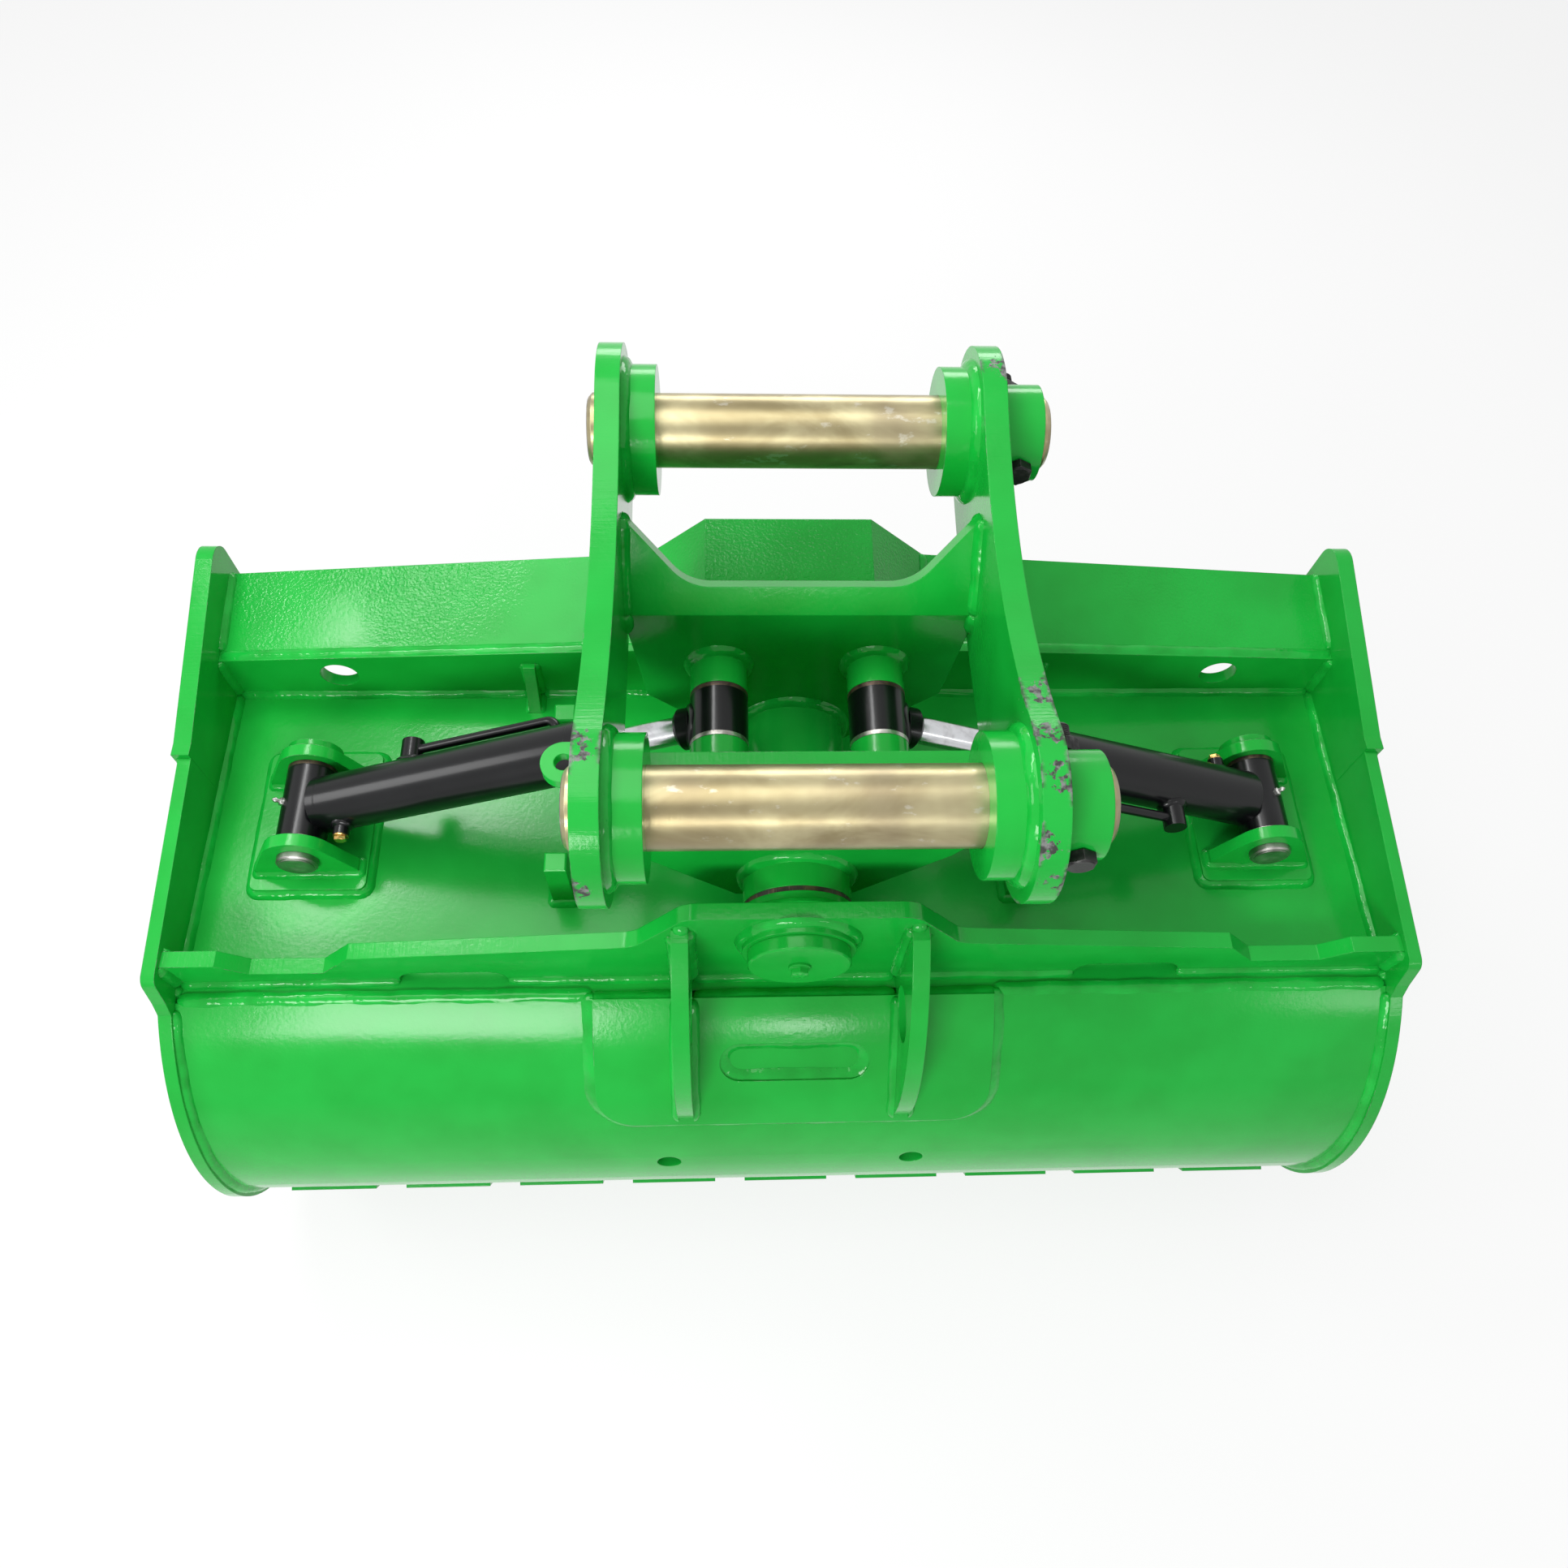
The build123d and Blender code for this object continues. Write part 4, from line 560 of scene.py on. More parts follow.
def eye_ring(name):
    """Rings at the ends of the cylinders' eyes: bronze on the mouth side, bare steel on the heel side."""
    f = Finish(name)
    marks = f.noise(500.0, 2.0, 0.6)
    grease = f.noise(55.0, 4.0, 0.6)
    mouth_side = f.part_of(f.spot, 1).above(CYLINDER_LINE - 0.01, CYLINDER_LINE + 0.01)
    brown = f.blend(grease.above(0.4, 0.62), BRONZE, GREASE)
    steel = f.blend(grease.above(0.4, 0.7), (0.52, 0.50, 0.47), (0.22, 0.20, 0.18))
    return f.done(
        Base_Color=f.blend(mouth_side, steel, brown),
        Metallic=0.95 - 0.4 * mouth_side,
        Roughness=0.26 + 0.16 * grease + 0.08 * mouth_side,
        Normal=f.bump(marks * 0.6 + grease * 0.4, 0.00010),
    )


def black_bolt(name):
    """Blackened steel: oily, with bright rubs on its corners."""
    f = Finish(name)
    rounded, edge = f.worn_edges(0.0007)
    oil = f.noise(70.0, 3.0, 0.6)
    base = f.blend(oil.above(0.35, 0.7), (0.012, 0.012, 0.013), (0.035, 0.034, 0.034))
    return f.done(
        Base_Color=f.blend(edge * 0.5, base, (0.20, 0.19, 0.18)),
        Metallic=0.75 - 0.3 * oil.above(0.5, 0.7),
        Roughness=0.30 + 0.18 * oil,
        Normal=f.bump(f.noise(420.0, 2.0, 0.6), 0.00012, rounded),
    )


def bright_fitting(name, dark, bright):
    """Small plated or brass fittings: bright, with a little grease."""
    f = Finish(name)
    grease = f.noise(160.0, 3.0, 0.6)
    return f.done(
        Base_Color=f.blend(grease.above(0.4, 0.66), bright, dark),
        Metallic=1.0 - 0.3 * grease.above(0.55, 0.7),
        Roughness=0.22 + 0.2 * grease,
        Normal=f.bump(grease, 0.0001),
    )


def scuffs_at(*spots):
    """Scuffed places as (point in metres, reach in metres), from (x, y, z, reach) in millimetres."""
    return [(place(x, y, z), reach / 1000) for x, y, z, reach in spots]


left_ear_scuffs = scuffs_at(
    (-212, 30, 536, 42), (-214, 575, 462, 40), (-214, -84, 464, 30), (-214, -70, 392, 34),
    (-214, -24, 354, 34),
)
right_ear_scuffs = scuffs_at(
    (214, -3, 543, 40), (203, 43, 536, 30), (214, 91, 506, 46), (192, -61, 510, 34), (214, -82, 470, 34),
    (212, 495, 524, 34), (210, -66, 396, 34),
)
enamel = green_enamel("green_enamel")
enamel_across = green_enamel("green_enamel_cut_x", 0)
enamel_along = green_enamel("green_enamel_cut_y", 1)
enamel_level = green_enamel("green_enamel_cut_z", 2)
enamel_dry = green_enamel("green_enamel_dry_spray", 2, dry=5.0)
enamel_left_ear = green_enamel("green_enamel_left_ear", 0, left_ear_scuffs)
enamel_right_ear = green_enamel("green_enamel_right_ear", 0, right_ear_scuffs)
enamel_beads = weld_enamel("green_enamel_beads")
black = black_enamel("black_enamel")
black_beads = black_enamel("black_enamel_beads", 8.0)
pin_steel = turned_steel("pin_steel", (0.20, 0.19, 0.18), (0.42, 0.41, 0.39), 0.28, (1.0, 0.05, 1.0))
face_steel = turned_steel("pin_face_steel", (0.11, 0.10, 0.09), (0.30, 0.28, 0.25), 0.32, (1.0, 1.0, 1.0))
shaft_steel = turned_steel("shaft_steel", (0.16, 0.155, 0.15), (0.38, 0.37, 0.36), 0.28, (1.0, 0.05, 1.0))
chrome = hard_chrome("rod_chrome")
passivate = yellow_plate("yellow_passivate")
bronze = wear_bronze("wear_bronze")
eye_rings = eye_ring("eye_rings")
bolt_black = black_bolt("bolt_black")
nipple_zinc = bright_fitting("nipple_zinc", (0.24, 0.24, 0.23), (0.66, 0.66, 0.64))
plug_brass = bright_fitting("plug_brass", (0.16, 0.10, 0.035), (0.72, 0.46, 0.16))

finish_of = {
    "deck": enamel_level, "lug_pads": enamel_level, "hose_eye": enamel_level, "lip_cover": enamel_dry,
    "left_ear": enamel_left_ear, "right_ear": enamel_right_ear,
    "left_rod": chrome, "right_rod": chrome,
    "lower_hitch_pin": passivate, "upper_hitch_pin": passivate,
    "pin_bolts": bolt_black, "pin_nuts": bolt_black,
    "tilt_shaft": shaft_steel, "left_piston": shaft_steel, "right_piston": shaft_steel,
}
for name in ("lifting_lugs", "bulkhead_gussets", "cutting_edge", "wear_strips"):
    finish_of[name] = enamel_across
for name in ("rear_bulkhead", "front_bulkhead", "front_cross_plate", "rear_cross_plate", "cylinder_lugs"):
    finish_of[name] = enamel_along
for name in ("left_base_pin", "right_base_pin", "left_rod_pin", "right_rod_pin"):
    finish_of[name] = pin_steel
for name in ("thrust_rings", "hub_bushes"):
    finish_of[name] = bronze
for name in ("left_base_bushes", "right_base_bushes", "left_rod_rings", "right_rod_rings"):
    finish_of[name] = eye_rings
for side in ("left", "right"):
    for name in ("side_plate", "side_cutter"):
        finish_of[f"{side}_{name}"] = enamel_across
    for name in ("barrel", "base_eye", "gland", "ports", "rod_eye"):
        finish_of[f"{side}_{name}"] = black
for name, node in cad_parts.items():
    node.data.materials.clear()
    node.data.materials.append(finish_of.get(name, enamel))


# Beads on the bucket

seam = 0


def seed():
    """A new number for each bead, so that no two wander alike."""
    global seam
    seam += 17
    return seam


def run_bead(start, end, plate_a, plate_b, leg=0.0085, step=STEP):
    """A straight bead between two places in millimetres."""
    return bead(straight(place(*start), place(*end), step), plate_a, plate_b, leg, seed())


def block_bead(x_span, y_span, z, leg, corner=1.5):
    """A bead round a block that stands on a level plate, from its spans across and along in millimetres."""
    low, high = place(x_span[0], y_span[0], z), place(x_span[1], y_span[1], z)
    spots, outs = rounded_rectangle(low[:2], high[:2], corner / 1000, 7, STEP)
    path = np.insert(spots, 2, low[2], axis=1)
    return bead(path, np.insert(outs, 2, 0, axis=1), Z, leg, seed(), closed=True)


def boss_bead(x, y, z, axis, radius, leg=0.0085, start=0.0, sweep=360.0):
    """A bead round a boss on a plate: one toe on the boss, along the axis, and one out on the plate."""
    path, out = round_path(place(x, y, z), axis, radius / 1000, start, sweep)
    return bead(path, out, axis, leg, seed(), closed=sweep >= 360)


def spans(*marks):
    """Pairs of x values where a bead starts and stops, from the marks on the bucket's right half."""
    ends = sorted([*marks, *(-mark for mark in marks)])
    return list(zip(ends[::2], ends[1::2]))


# Where the beads start, stop and skip, from the faces and edges of the plates that they join
END, NOTCH, LUG, GUSSET = 748, (352, 484), (125, 147), (336, 354)
LUG_INNER, LUG_OUTER, LUG_TOP, LUG_FOOT, LUG_HEIGHTS = 126, 146, 168, 59.5, (162, 146)
DOUBLER_HALF, DOUBLER_FOOT, DOUBLER_THICK, DOUBLER_CORNER = 248, 61.2, 10, 50
SLOT_ANGLE, SLOT_HALF_LENGTH, SLOT_HALF_WIDTH, SLOT_CORNER = 45.4, 93, 26, 25.9
SEAT_RADIUS = SHELL_RADIUS + DOUBLER_THICK
SHAFT_LEVEL, BOSS_RADIUS, HUB_RADIUS = 125, 66, 64
SEAM_CUTTER, PLATE_OUTSIDE, CUTTER_OUTSIDE, CUTTER_TOP = 262, 766, 772, 94
EDGE_BACK, EDGE_FRONT, EDGE_TOP, FLOOR_UNDER, GROUND = 450, 630, -546, -560, -571
REAR_THICK, REAR_TOP, FRONT_TOP, SEAM_Y, SEAM_LEVEL = 20, 60, 80, -20.5, 0.6
DECK_HEEL, DECK_END, DECK_UNDER = -16, 430, -16
PAD_EDGES, PAD_REACH, PAD_TOP = (539.5, 684.5), (118, 314), 12
CHEEK_EDGES, CHEEK_FACES = (548, 676), ((139.6, 155.6), (264.4, 280.4))
POST_EDGES, POST_FACES = (276, 303), ((102, 127), (312, 337))
GUSSET_MIDDLE, GUSSET_HALF, GUSSET_NEAR, GUSSET_TOP = 345, 8, 383, 75
LIP_SEAM, LIP_END, LIP_LOW, LIP_HIGH, LIP_THICK, LIP_RISE = 424, 545, 82, 97.8, 12, 16
LIP_FRONT, HAT_FOOT, HAT_SHOULDER, HAT_RISE = (85, 98), (185, 106), (108, 200), 37
start_out = out_at(math.radians(SHELL_START))
top_of_shell = np.array([0, SHELL_AXIS_Y, SHELL_AXIS_Z]) + SHELL_RADIUS * start_out

bucket_beads = {
    f"{name}_beads": []
    for name in ("deck", "bulkhead", "lip", "rim", "bowl", "doubler", "lug", "pad", "wear_strip", "mouth")
}
deck_beads, bulkhead_beads, lip_beads, rim_beads, bowl_beads, *others = bucket_beads.values()
doubler_beads, lug_beads, pad_beads, wear_beads, mouth_beads = others

for low, high in spans(*NOTCH, END):
    deck_beads.append(run_bead((low, REAR_THICK, 0), (high, REAR_THICK, 0), Y, Z))
for low, high in spans(*LUG, *NOTCH, END):
    bulkhead_beads.append(run_bead((low, 0, 0), (high, 0, 0), -Y, Z, 0.0075))
for low, high in spans(*GUSSET, END):
    deck_beads.append(run_bead((low, FRONT_FACE, 0), (high, FRONT_FACE, 0), -Y, Z))
for low, high in spans(DOUBLER_HALF + 1, END):
    path = straight(place(low, SEAM_Y, SEAM_LEVEL), place(high, SEAM_Y, SEAM_LEVEL))
    bulkhead_beads.append(butt_bead(path, (0, -0.96, -0.27), (0, -0.27, 0.96), 0.017, seed(), 0.35))
for low, high in spans(*LUG, DOUBLER_HALF + 5):
    corner = top_of_shell[1:]
    bulkhead_beads.append(run_bead((low, *corner), (high, *corner), Y, start_out, 0.0088))

for side in (-1, 1):
    inwards, outwards = -side * X, side * X
    edge = side * HALF
    deck_beads.append(run_bead((edge, REAR_THICK + 2, 0), (edge, FRONT_FACE - 2, 0), inwards, Z))
    bulkhead_beads.append(run_bead((edge, REAR_THICK, 3), (edge, REAR_THICK, REAR_TOP), inwards, Y))
    bulkhead_beads.append(run_bead((edge, 0, 3), (edge, 0, REAR_TOP), inwards, -Y))
    bulkhead_beads.append(run_bead((edge, DECK_HEEL, 0), (edge, -1, 0), inwards, Z, 0.007))
    deck_beads.append(run_bead((edge, FRONT_FACE, 3), (edge, FRONT_FACE, FRONT_TOP), inwards, -Y))

    path, out = shell_rim(edge, 0, STEP)
    rim_beads.append(bead(path, out, inwards, 0.0078, seed()))
    path, out = shell_rim(edge, SHELL_THICK, COARSE)
    bowl_beads.append(bead(path, -out, inwards, 0.008, seed()))
    start, end = (edge, DECK_HEEL + 2, DECK_UNDER), (edge, DECK_END, DECK_UNDER)
    bowl_beads.append(run_bead(start, end, inwards, -Z, 0.008, COARSE))

    # Lip cover to cutter, and to the front bulkhead round the hat
    under = LIP_LOW - LIP_THICK
    lip_beads.append(run_bead((edge, LIP_FACE, LIP_LOW), (edge, LIP_END, LIP_HIGH), inwards, Z))
    start, end = (edge, LIP_FACE, under), (edge, LIP_END, under + LIP_RISE)
    lip_beads.append(run_bead(start, end, inwards, -Z, 0.007))
    start, end = ((edge, LIP_END, z) for z in LIP_FRONT)
    lip_beads.append(run_bead(start, end, inwards, Y, 0.007))
    turns = ((END, LIP_LOW), HAT_FOOT, HAT_SHOULDER, (0, HAT_SHOULDER[1]))
    seam_corners = [place(side * x, LIP_SEAM, z) for x, z in turns]
    for first, last in zip(seam_corners, seam_corners[1:]):
        along = (last - first) / np.linalg.norm(last - first)
        upward = np.cross(side * Y, along)
        lip_beads.append(butt_bead(straight(first, last + 0.003 * along), Y, upward, 0.016, seed(), 0.3))
    foot_x, foot_z = side * HAT_FOOT[0], HAT_FOOT[1]
    path = straight(place(foot_x, LIP_FACE, foot_z), place(foot_x, LIP_END, foot_z + HAT_RISE))
    lip_beads.append(bead(path, side * X, np.array([-side * 0.63, 0, 0.776]), 0.0065, seed()))

    # Gusset to deck and bulkhead
    for face in (-1, 1):
        x = side * GUSSET_MIDDLE + face * GUSSET_HALF
        deck_beads.append(run_bead((x, GUSSET_NEAR, 0), (x, FRONT_FACE - 1, 0), face * X, Z, 0.0065))
        deck_beads.append(run_bead((x, FRONT_FACE, 2), (x, FRONT_FACE, GUSSET_TOP), face * X, -Y, 0.0065))

    # Lifting lug to doubler and rear bulkhead
    faces = ((LUG_INNER, -side * X), (LUG_OUTER, side * X))
    for (x, away), top in zip(faces, LUG_HEIGHTS):
        path, out = back_curve(side * x, SEAT_RADIUS, SHELL_START + 0.3, LUG_FOOT)
        lug_beads.append(bead(path, out, away, 0.009, seed()))
        lug_beads.append(run_bead((side * x, 0, 8), (side * x, 0, top), away, -Y, 0.0085))
    start, end = (side * LUG_INNER, 0, LUG_TOP), (side * (LUG_OUTER - 3), 0, LUG_TOP)
    lug_beads.append(run_bead(start, end, Z, -Y, 0.0085))

    # Pad, cheeks and stop posts
    pad_beads.append(block_bead(sorted(side * x for x in PAD_EDGES), PAD_REACH, 0, 0.009, 10))
    for reach in CHEEK_FACES:
        pad_beads.append(block_bead(sorted(side * x for x in CHEEK_EDGES), reach, PAD_TOP, 0.0072))
    for reach in POST_FACES:
        pad_beads.append(block_bead(sorted(side * x for x in POST_EDGES), reach, 0, 0.0085))

    # Cutter to side plate, and both to the cutting edge
    x = side * PLATE_OUTSIDE
    low, high = (x, SEAM_CUTTER, GROUND + 2), (x, SEAM_CUTTER, CUTTER_TOP)
    mouth_beads.append(run_bead(low, high, -Y, outwards, 0.006))
    start, end = (edge, EDGE_BACK, EDGE_TOP), (edge, EDGE_FRONT - 2, EDGE_TOP)
    mouth_beads.append(run_bead(start, end, inwards, Z, 0.010))
    x = side * CUTTER_OUTSIDE
    path = straight(place(x, EDGE_BACK + 2, EDGE_TOP), place(x, EDGE_FRONT, EDGE_TOP))
    mouth_beads.append(butt_bead(path, Z, outwards, 0.013, seed(), 0.22))

path = straight(place(8 - END, EDGE_BACK, EDGE_TOP), place(END - 8, EDGE_BACK, EDGE_TOP), 0.002)
mouth_beads.append(butt_bead(path, Y, Z, 0.018, seed(), 0.2))
start, end = (-END, EDGE_BACK, FLOOR_UNDER), (END, EDGE_BACK, FLOOR_UNDER)
mouth_beads.append(run_bead(start, end, -Y, -Z, 0.009, 0.002))

# Doubler to shell: down one side, round the bottom and up the other, then round the slot
angles = (SHELL_START, DOUBLER_FOOT, SLOT_ANGLE)
arc_start, arc_end, slot_arc = (SHELL_RADIUS * math.radians(angle) for angle in angles)
low, high = (-DOUBLER_HALF, arc_start - 70), (DOUBLER_HALF, arc_end)
outline, outward = rounded_rectangle(low, high, DOUBLER_CORNER, 49, 1000 * STEP)
shown = outline[:, 1] > arc_start - 7
doubler_beads.append(plate_bead(outline[shown], outward[shown], 0.0090, seed(), False))
low, high = (-SLOT_HALF_LENGTH, slot_arc - SLOT_HALF_WIDTH), (SLOT_HALF_LENGTH, slot_arc + SLOT_HALF_WIDTH)
outline, outward = rounded_rectangle(low, high, SLOT_CORNER, 25, 1000 * STEP)
doubler_beads.append(plate_bead(outline, -outward, 0.0078, seed(), True))

# Shaft bosses to the bulkheads
for y, axis in ((0, -Y), (REAR_THICK, Y), (FRONT_FACE, -Y)):
    bulkhead_beads.append(boss_bead(0, y, SHAFT_LEVEL, axis, BOSS_RADIUS))

# Wear strips to the shell: both sides of each strip, and its two ends
WEAR_PITCH, WEAR_HALF, WEAR_FIRST, WEAR_FRONT = 163, 60, 112, 300
strip_out = out_at(np.radians(np.linspace(WEAR_FIRST, 180, 130)))
heel_out, heel_on = (out_at(math.radians(angle)) for angle in (WEAR_FIRST, WEAR_FIRST + 90))
heel_end = HEEL_AXIS_Y + HEEL_RADIUS * heel_out[1], SHELL_AXIS_Z + HEEL_RADIUS * heel_out[2]
for number in range(-4, 5):
    for face in (-1, 1):
        x = number * WEAR_PITCH + face * WEAR_HALF
        curve = round_axis(x, HEEL_AXIS_Y, HEEL_RADIUS, strip_out)
        level = straight(curve[-1], place(x, WEAR_FRONT - 1, FLOOR_UNDER), COARSE)[1:]
        out = np.concatenate([strip_out, np.broadcast_to(-Z, level.shape)])
        wear_beads.append(bead(np.concatenate([curve, level]), out, face * X, 0.0075, seed()))
    low, high = number * WEAR_PITCH - WEAR_HALF, number * WEAR_PITCH + WEAR_HALF
    wear_beads.append(run_bead((low, *heel_end), (high, *heel_end), -heel_on, heel_out, 0.0075, COARSE))
    start, end = (low, WEAR_FRONT, FLOOR_UNDER), (high, WEAR_FRONT, FLOOR_UNDER)
    wear_beads.append(run_bead(start, end, Y, -Z, 0.0075, COARSE))

for name, skins in bucket_beads.items():
    piece(name, "bucket", enamel_beads, skins, 60)


# Beads on the headstock

EAR_FACE, EAR_OUTSIDE, EAR_FOOT = 190, 216, 337
BEND_LEVEL, BEND = 366, math.radians(35)
HORN, CROSS_THICK, ROD_BOSS_RADIUS, EAR_BOSS_RADIUS, COLLAR_BEAD = 108, 22, 33, 70, 52
HOSE_EYE_LEVELS, HOSE_EYE_SPAN = ((424, Z), (412, -Z)), (53, 95)
MITRE = CROSS_THICK * math.tan(BEND / 2)
CROSS_HEEL, CROSS_MOUTH, REAR_HEEL, REAR_MOUTH, REAR_CROSS_TOP = 286, 308, 80, 102, 390
lean = np.array([0, math.sin(BEND), math.cos(BEND)])
lean_face = np.array([0, -math.cos(BEND), math.sin(BEND)])
headstock_beads = []
for side in (-1, 1):
    x, inwards = side * EAR_FACE, -side * X
    headstock_beads.append(run_bead((x, CROSS_HEEL, EAR_FOOT), (x, CROSS_HEEL, BEND_LEVEL + 1), inwards, -Y))
    bend = np.array([x, CROSS_HEEL, BEND_LEVEL])
    horn = bend + (HORN - 2) * lean
    headstock_beads.append(run_bead(bend, horn, inwards, lean_face))
    bend = np.array([x, CROSS_MOUTH, BEND_LEVEL - MITRE])
    horn = np.array([x, CROSS_HEEL, BEND_LEVEL]) + (HORN - 2) * lean - CROSS_THICK * lean_face
    headstock_beads.append(run_bead((x, CROSS_MOUTH, EAR_FOOT), bend, inwards, Y))
    headstock_beads.append(run_bead(bend, horn, inwards, -lean_face))
    for y, facing in ((REAR_HEEL, -Y), (REAR_MOUTH, Y)):
        headstock_beads.append(run_bead((x, y, EAR_FOOT), (x, y, REAR_CROSS_TOP), inwards, facing))
    for y, axis in ((REAR_MOUTH, Y), (CROSS_HEEL, -Y)):
        headstock_beads.append(boss_bead(side * ROD_PIN[0], y, ROD_PIN[1], axis, ROD_BOSS_RADIUS))
    for pin_y, pin_z in HITCH_PINS:
        headstock_beads.append(boss_bead(x, pin_y, pin_z, inwards, EAR_BOSS_RADIUS, 0.009))
for pin_y, pin_z in HITCH_PINS:
    headstock_beads.append(boss_bead(EAR_OUTSIDE, pin_y, pin_z, X, COLLAR_BEAD, 0.009))
hub_welds = (
    (CROSS_HEEL, -Y, -25, 230), (CROSS_MOUTH, Y, -25, 230),
    (REAR_HEEL, -Y, -31, 242), (REAR_MOUTH, Y, -31, 242),
)
for y, axis, start, sweep in hub_welds:
    headstock_beads.append(boss_bead(0, y, SHAFT_LEVEL, axis, HUB_RADIUS, 0.009, start, sweep))
for z, axis in HOSE_EYE_LEVELS:
    start, end = ((-EAR_OUTSIDE, y, z) for y in HOSE_EYE_SPAN)
    headstock_beads.append(run_bead(start, end, -X, axis, 0.005, 0.0012))
piece("headstock_beads", "headstock", enamel_beads, headstock_beads, 60)


# Cylinder beads, nipples and plugs


def saddle_bead(centre, post_axis, along, post_radius, tube_radius, leg):
    """A bead where a round post stands on a round tube.

    The path is centre + post_radius*(cos t*along + sin t*across), raised along the post's axis by
    sqrt(tube_radius^2 - (post_radius*sin t)^2); one toe goes up the post and one out over the tube.
    """
    across = np.cross(post_axis, along)
    count = int(2 * np.pi * post_radius / 0.0012)
    turn = np.linspace(0, 2 * np.pi, count, endpoint=False)[:, None]
    out = np.cos(turn) * along + np.sin(turn) * across
    level = np.sqrt(tube_radius**2 - (post_radius * np.sin(turn)) ** 2)
    path = centre + post_radius * out + level * post_axis
    steep = post_radius * np.sin(turn) * across + level * post_axis
    steep = steep / np.linalg.norm(steep, axis=1)[:, None]
    over = out - np.sum(out * steep, axis=1)[:, None] * steep
    over = over / np.linalg.norm(over, axis=1)[:, None]
    return bead(path, over, post_axis, leg, seed(), closed=True, pitch=0.005)


def nipple(base, axis):
    """A grease nipple: a hexagon, a waist and a rounded head."""
    profile = [
        (4.6, -3), (4.6, 4.2), (3.8, 5), (2.7, 5.2), (2.7, 8),
        (3.3, 8.8), (3.3, 10.2), (2.4, 12.4), (1.1, 13.6),
    ]
    flats = [True, True] + [False] * 7
    return turned(np.array(profile) / 1000, base, axis, 36, flats)


def hex_plug(base, axis):
    """A hexagon plug on a thin flange."""
    profile = [(9.4, -0.5), (9.4, 1.4), (9.0, 1.8), (6.6, 1.8), (6.6, 6.4), (5.9, 7.2), (0.4, 7.2)]
    flats = [False, False, False, True, True, False, False]
    return turned(np.array(profile) / 1000, base, axis, 36, flats)


BASE_EYE_RADIUS, ROD_EYE_RADIUS, NECK_RADIUS, BARREL_RADIUS = 30, 33, 24, 36
PORT_NEAR, PORT_FAR, PORT_TOP, NEAR_POST, FAR_POST = 60, 150, 49, 10, 14
BARREL_RINGS, NIPPLE_SINK, ROD_NIPPLE_BACK = ((38, 0.010), (52, 0.006)), 0.5, 38
BASE_NIPPLE_LEAN = {"left": np.array([-0.78, 0, 0.62]), "right": np.array([0.47, 0, 0.88])}
for name, side in (("left", -1), ("right", 1)):
    run = CYLINDER_RUN * np.array([side, 1, 1])
    over = np.cross(run, side * Y)
    base = place(side * BASE_PIN[0], CYLINDER_Y, BASE_PIN[1])
    rod = place(side * ROD_PIN[0], CYLINDER_Y, ROD_PIN[1])
    out = -side * Y
    beads = []
    for distance, width in BARREL_RINGS:
        path, away = round_path(base + run * distance / 1000, run, BARREL_RADIUS / 1000)
        beads.append(butt_bead(path, run, away, width, seed(), 0.5, True))
    tube = BARREL_RADIUS / 1000
    beads.append(saddle_bead(base + run * PORT_FAR / 1000, out, run, FAR_POST / 1000, tube, 0.005))
    beads.append(saddle_bead(base + run * PORT_NEAR / 1000, -out, run, NEAR_POST / 1000, tube, 0.0045))
    piece(f"{name}_barrel_beads", f"{name}_cylinder", black_beads, beads, 60)
    eye_bead = saddle_bead(rod, -run, Y, NECK_RADIUS / 1000, ROD_EYE_RADIUS / 1000, 0.0045)
    piece(f"{name}_rod_eye_bead", f"{name}_piston_rod", black_beads, [eye_bead], 60)

    lean_out = BASE_NIPPLE_LEAN[name] / np.linalg.norm(BASE_NIPPLE_LEAN[name])
    fitting = nipple(base + lean_out * (BASE_EYE_RADIUS - NIPPLE_SINK) / 1000, lean_out)
    piece(f"{name}_base_nipple", f"{name}_cylinder", nipple_zinc, [fitting], 30)
    neck = rod - run * (ROD_NIPPLE_BACK / 1000)
    fitting = nipple(neck + over * (NECK_RADIUS - NIPPLE_SINK) / 1000, over)
    piece(f"{name}_rod_nipple", f"{name}_piston_rod", nipple_zinc, [fitting], 30)
    fitting = hex_plug(base + run * PORT_NEAR / 1000 - out * PORT_TOP / 1000, -out)
    piece(f"{name}_port_plug", f"{name}_cylinder", plug_brass, [fitting], 30)


# Pins and bolts


def centred_face(base, axis, radius):
    """A turned end face, a millimetre proud, with the lathe's centre hole in its middle."""
    profile = [
        (radius - 0.3, -0.5), (radius - 0.3, 0.6), (radius - 1, 1.0), (radius * 0.5, 1.0),
        (radius * 0.48, 0.8), (5.2, 0.8), (3.6, 0.4), (0.5, 0.1),
    ]
    return turned(np.array(profile) / 1000, base, axis, 64)


PIN_FACE_Y, PIN_FACE_RADIUS, HITCH_FACE_RADIUS, HITCH_ENDS = 130.6, 21, 35, ((-230, -X), (276, X))
for name, side in (("left", -1), ("right", 1)):
    face = centred_face(place(side * BASE_PIN[0], PIN_FACE_Y, BASE_PIN[1]), -Y, PIN_FACE_RADIUS)
    piece(f"{name}_base_pin_face", "bucket", pin_steel, [face], 30)
faces = []
for x, axis in HITCH_ENDS:
    faces += [centred_face(place(x, y, z), axis, HITCH_FACE_RADIUS) for y, z in HITCH_PINS]
piece("hitch_pin_faces", "headstock", face_steel, faces, 30)

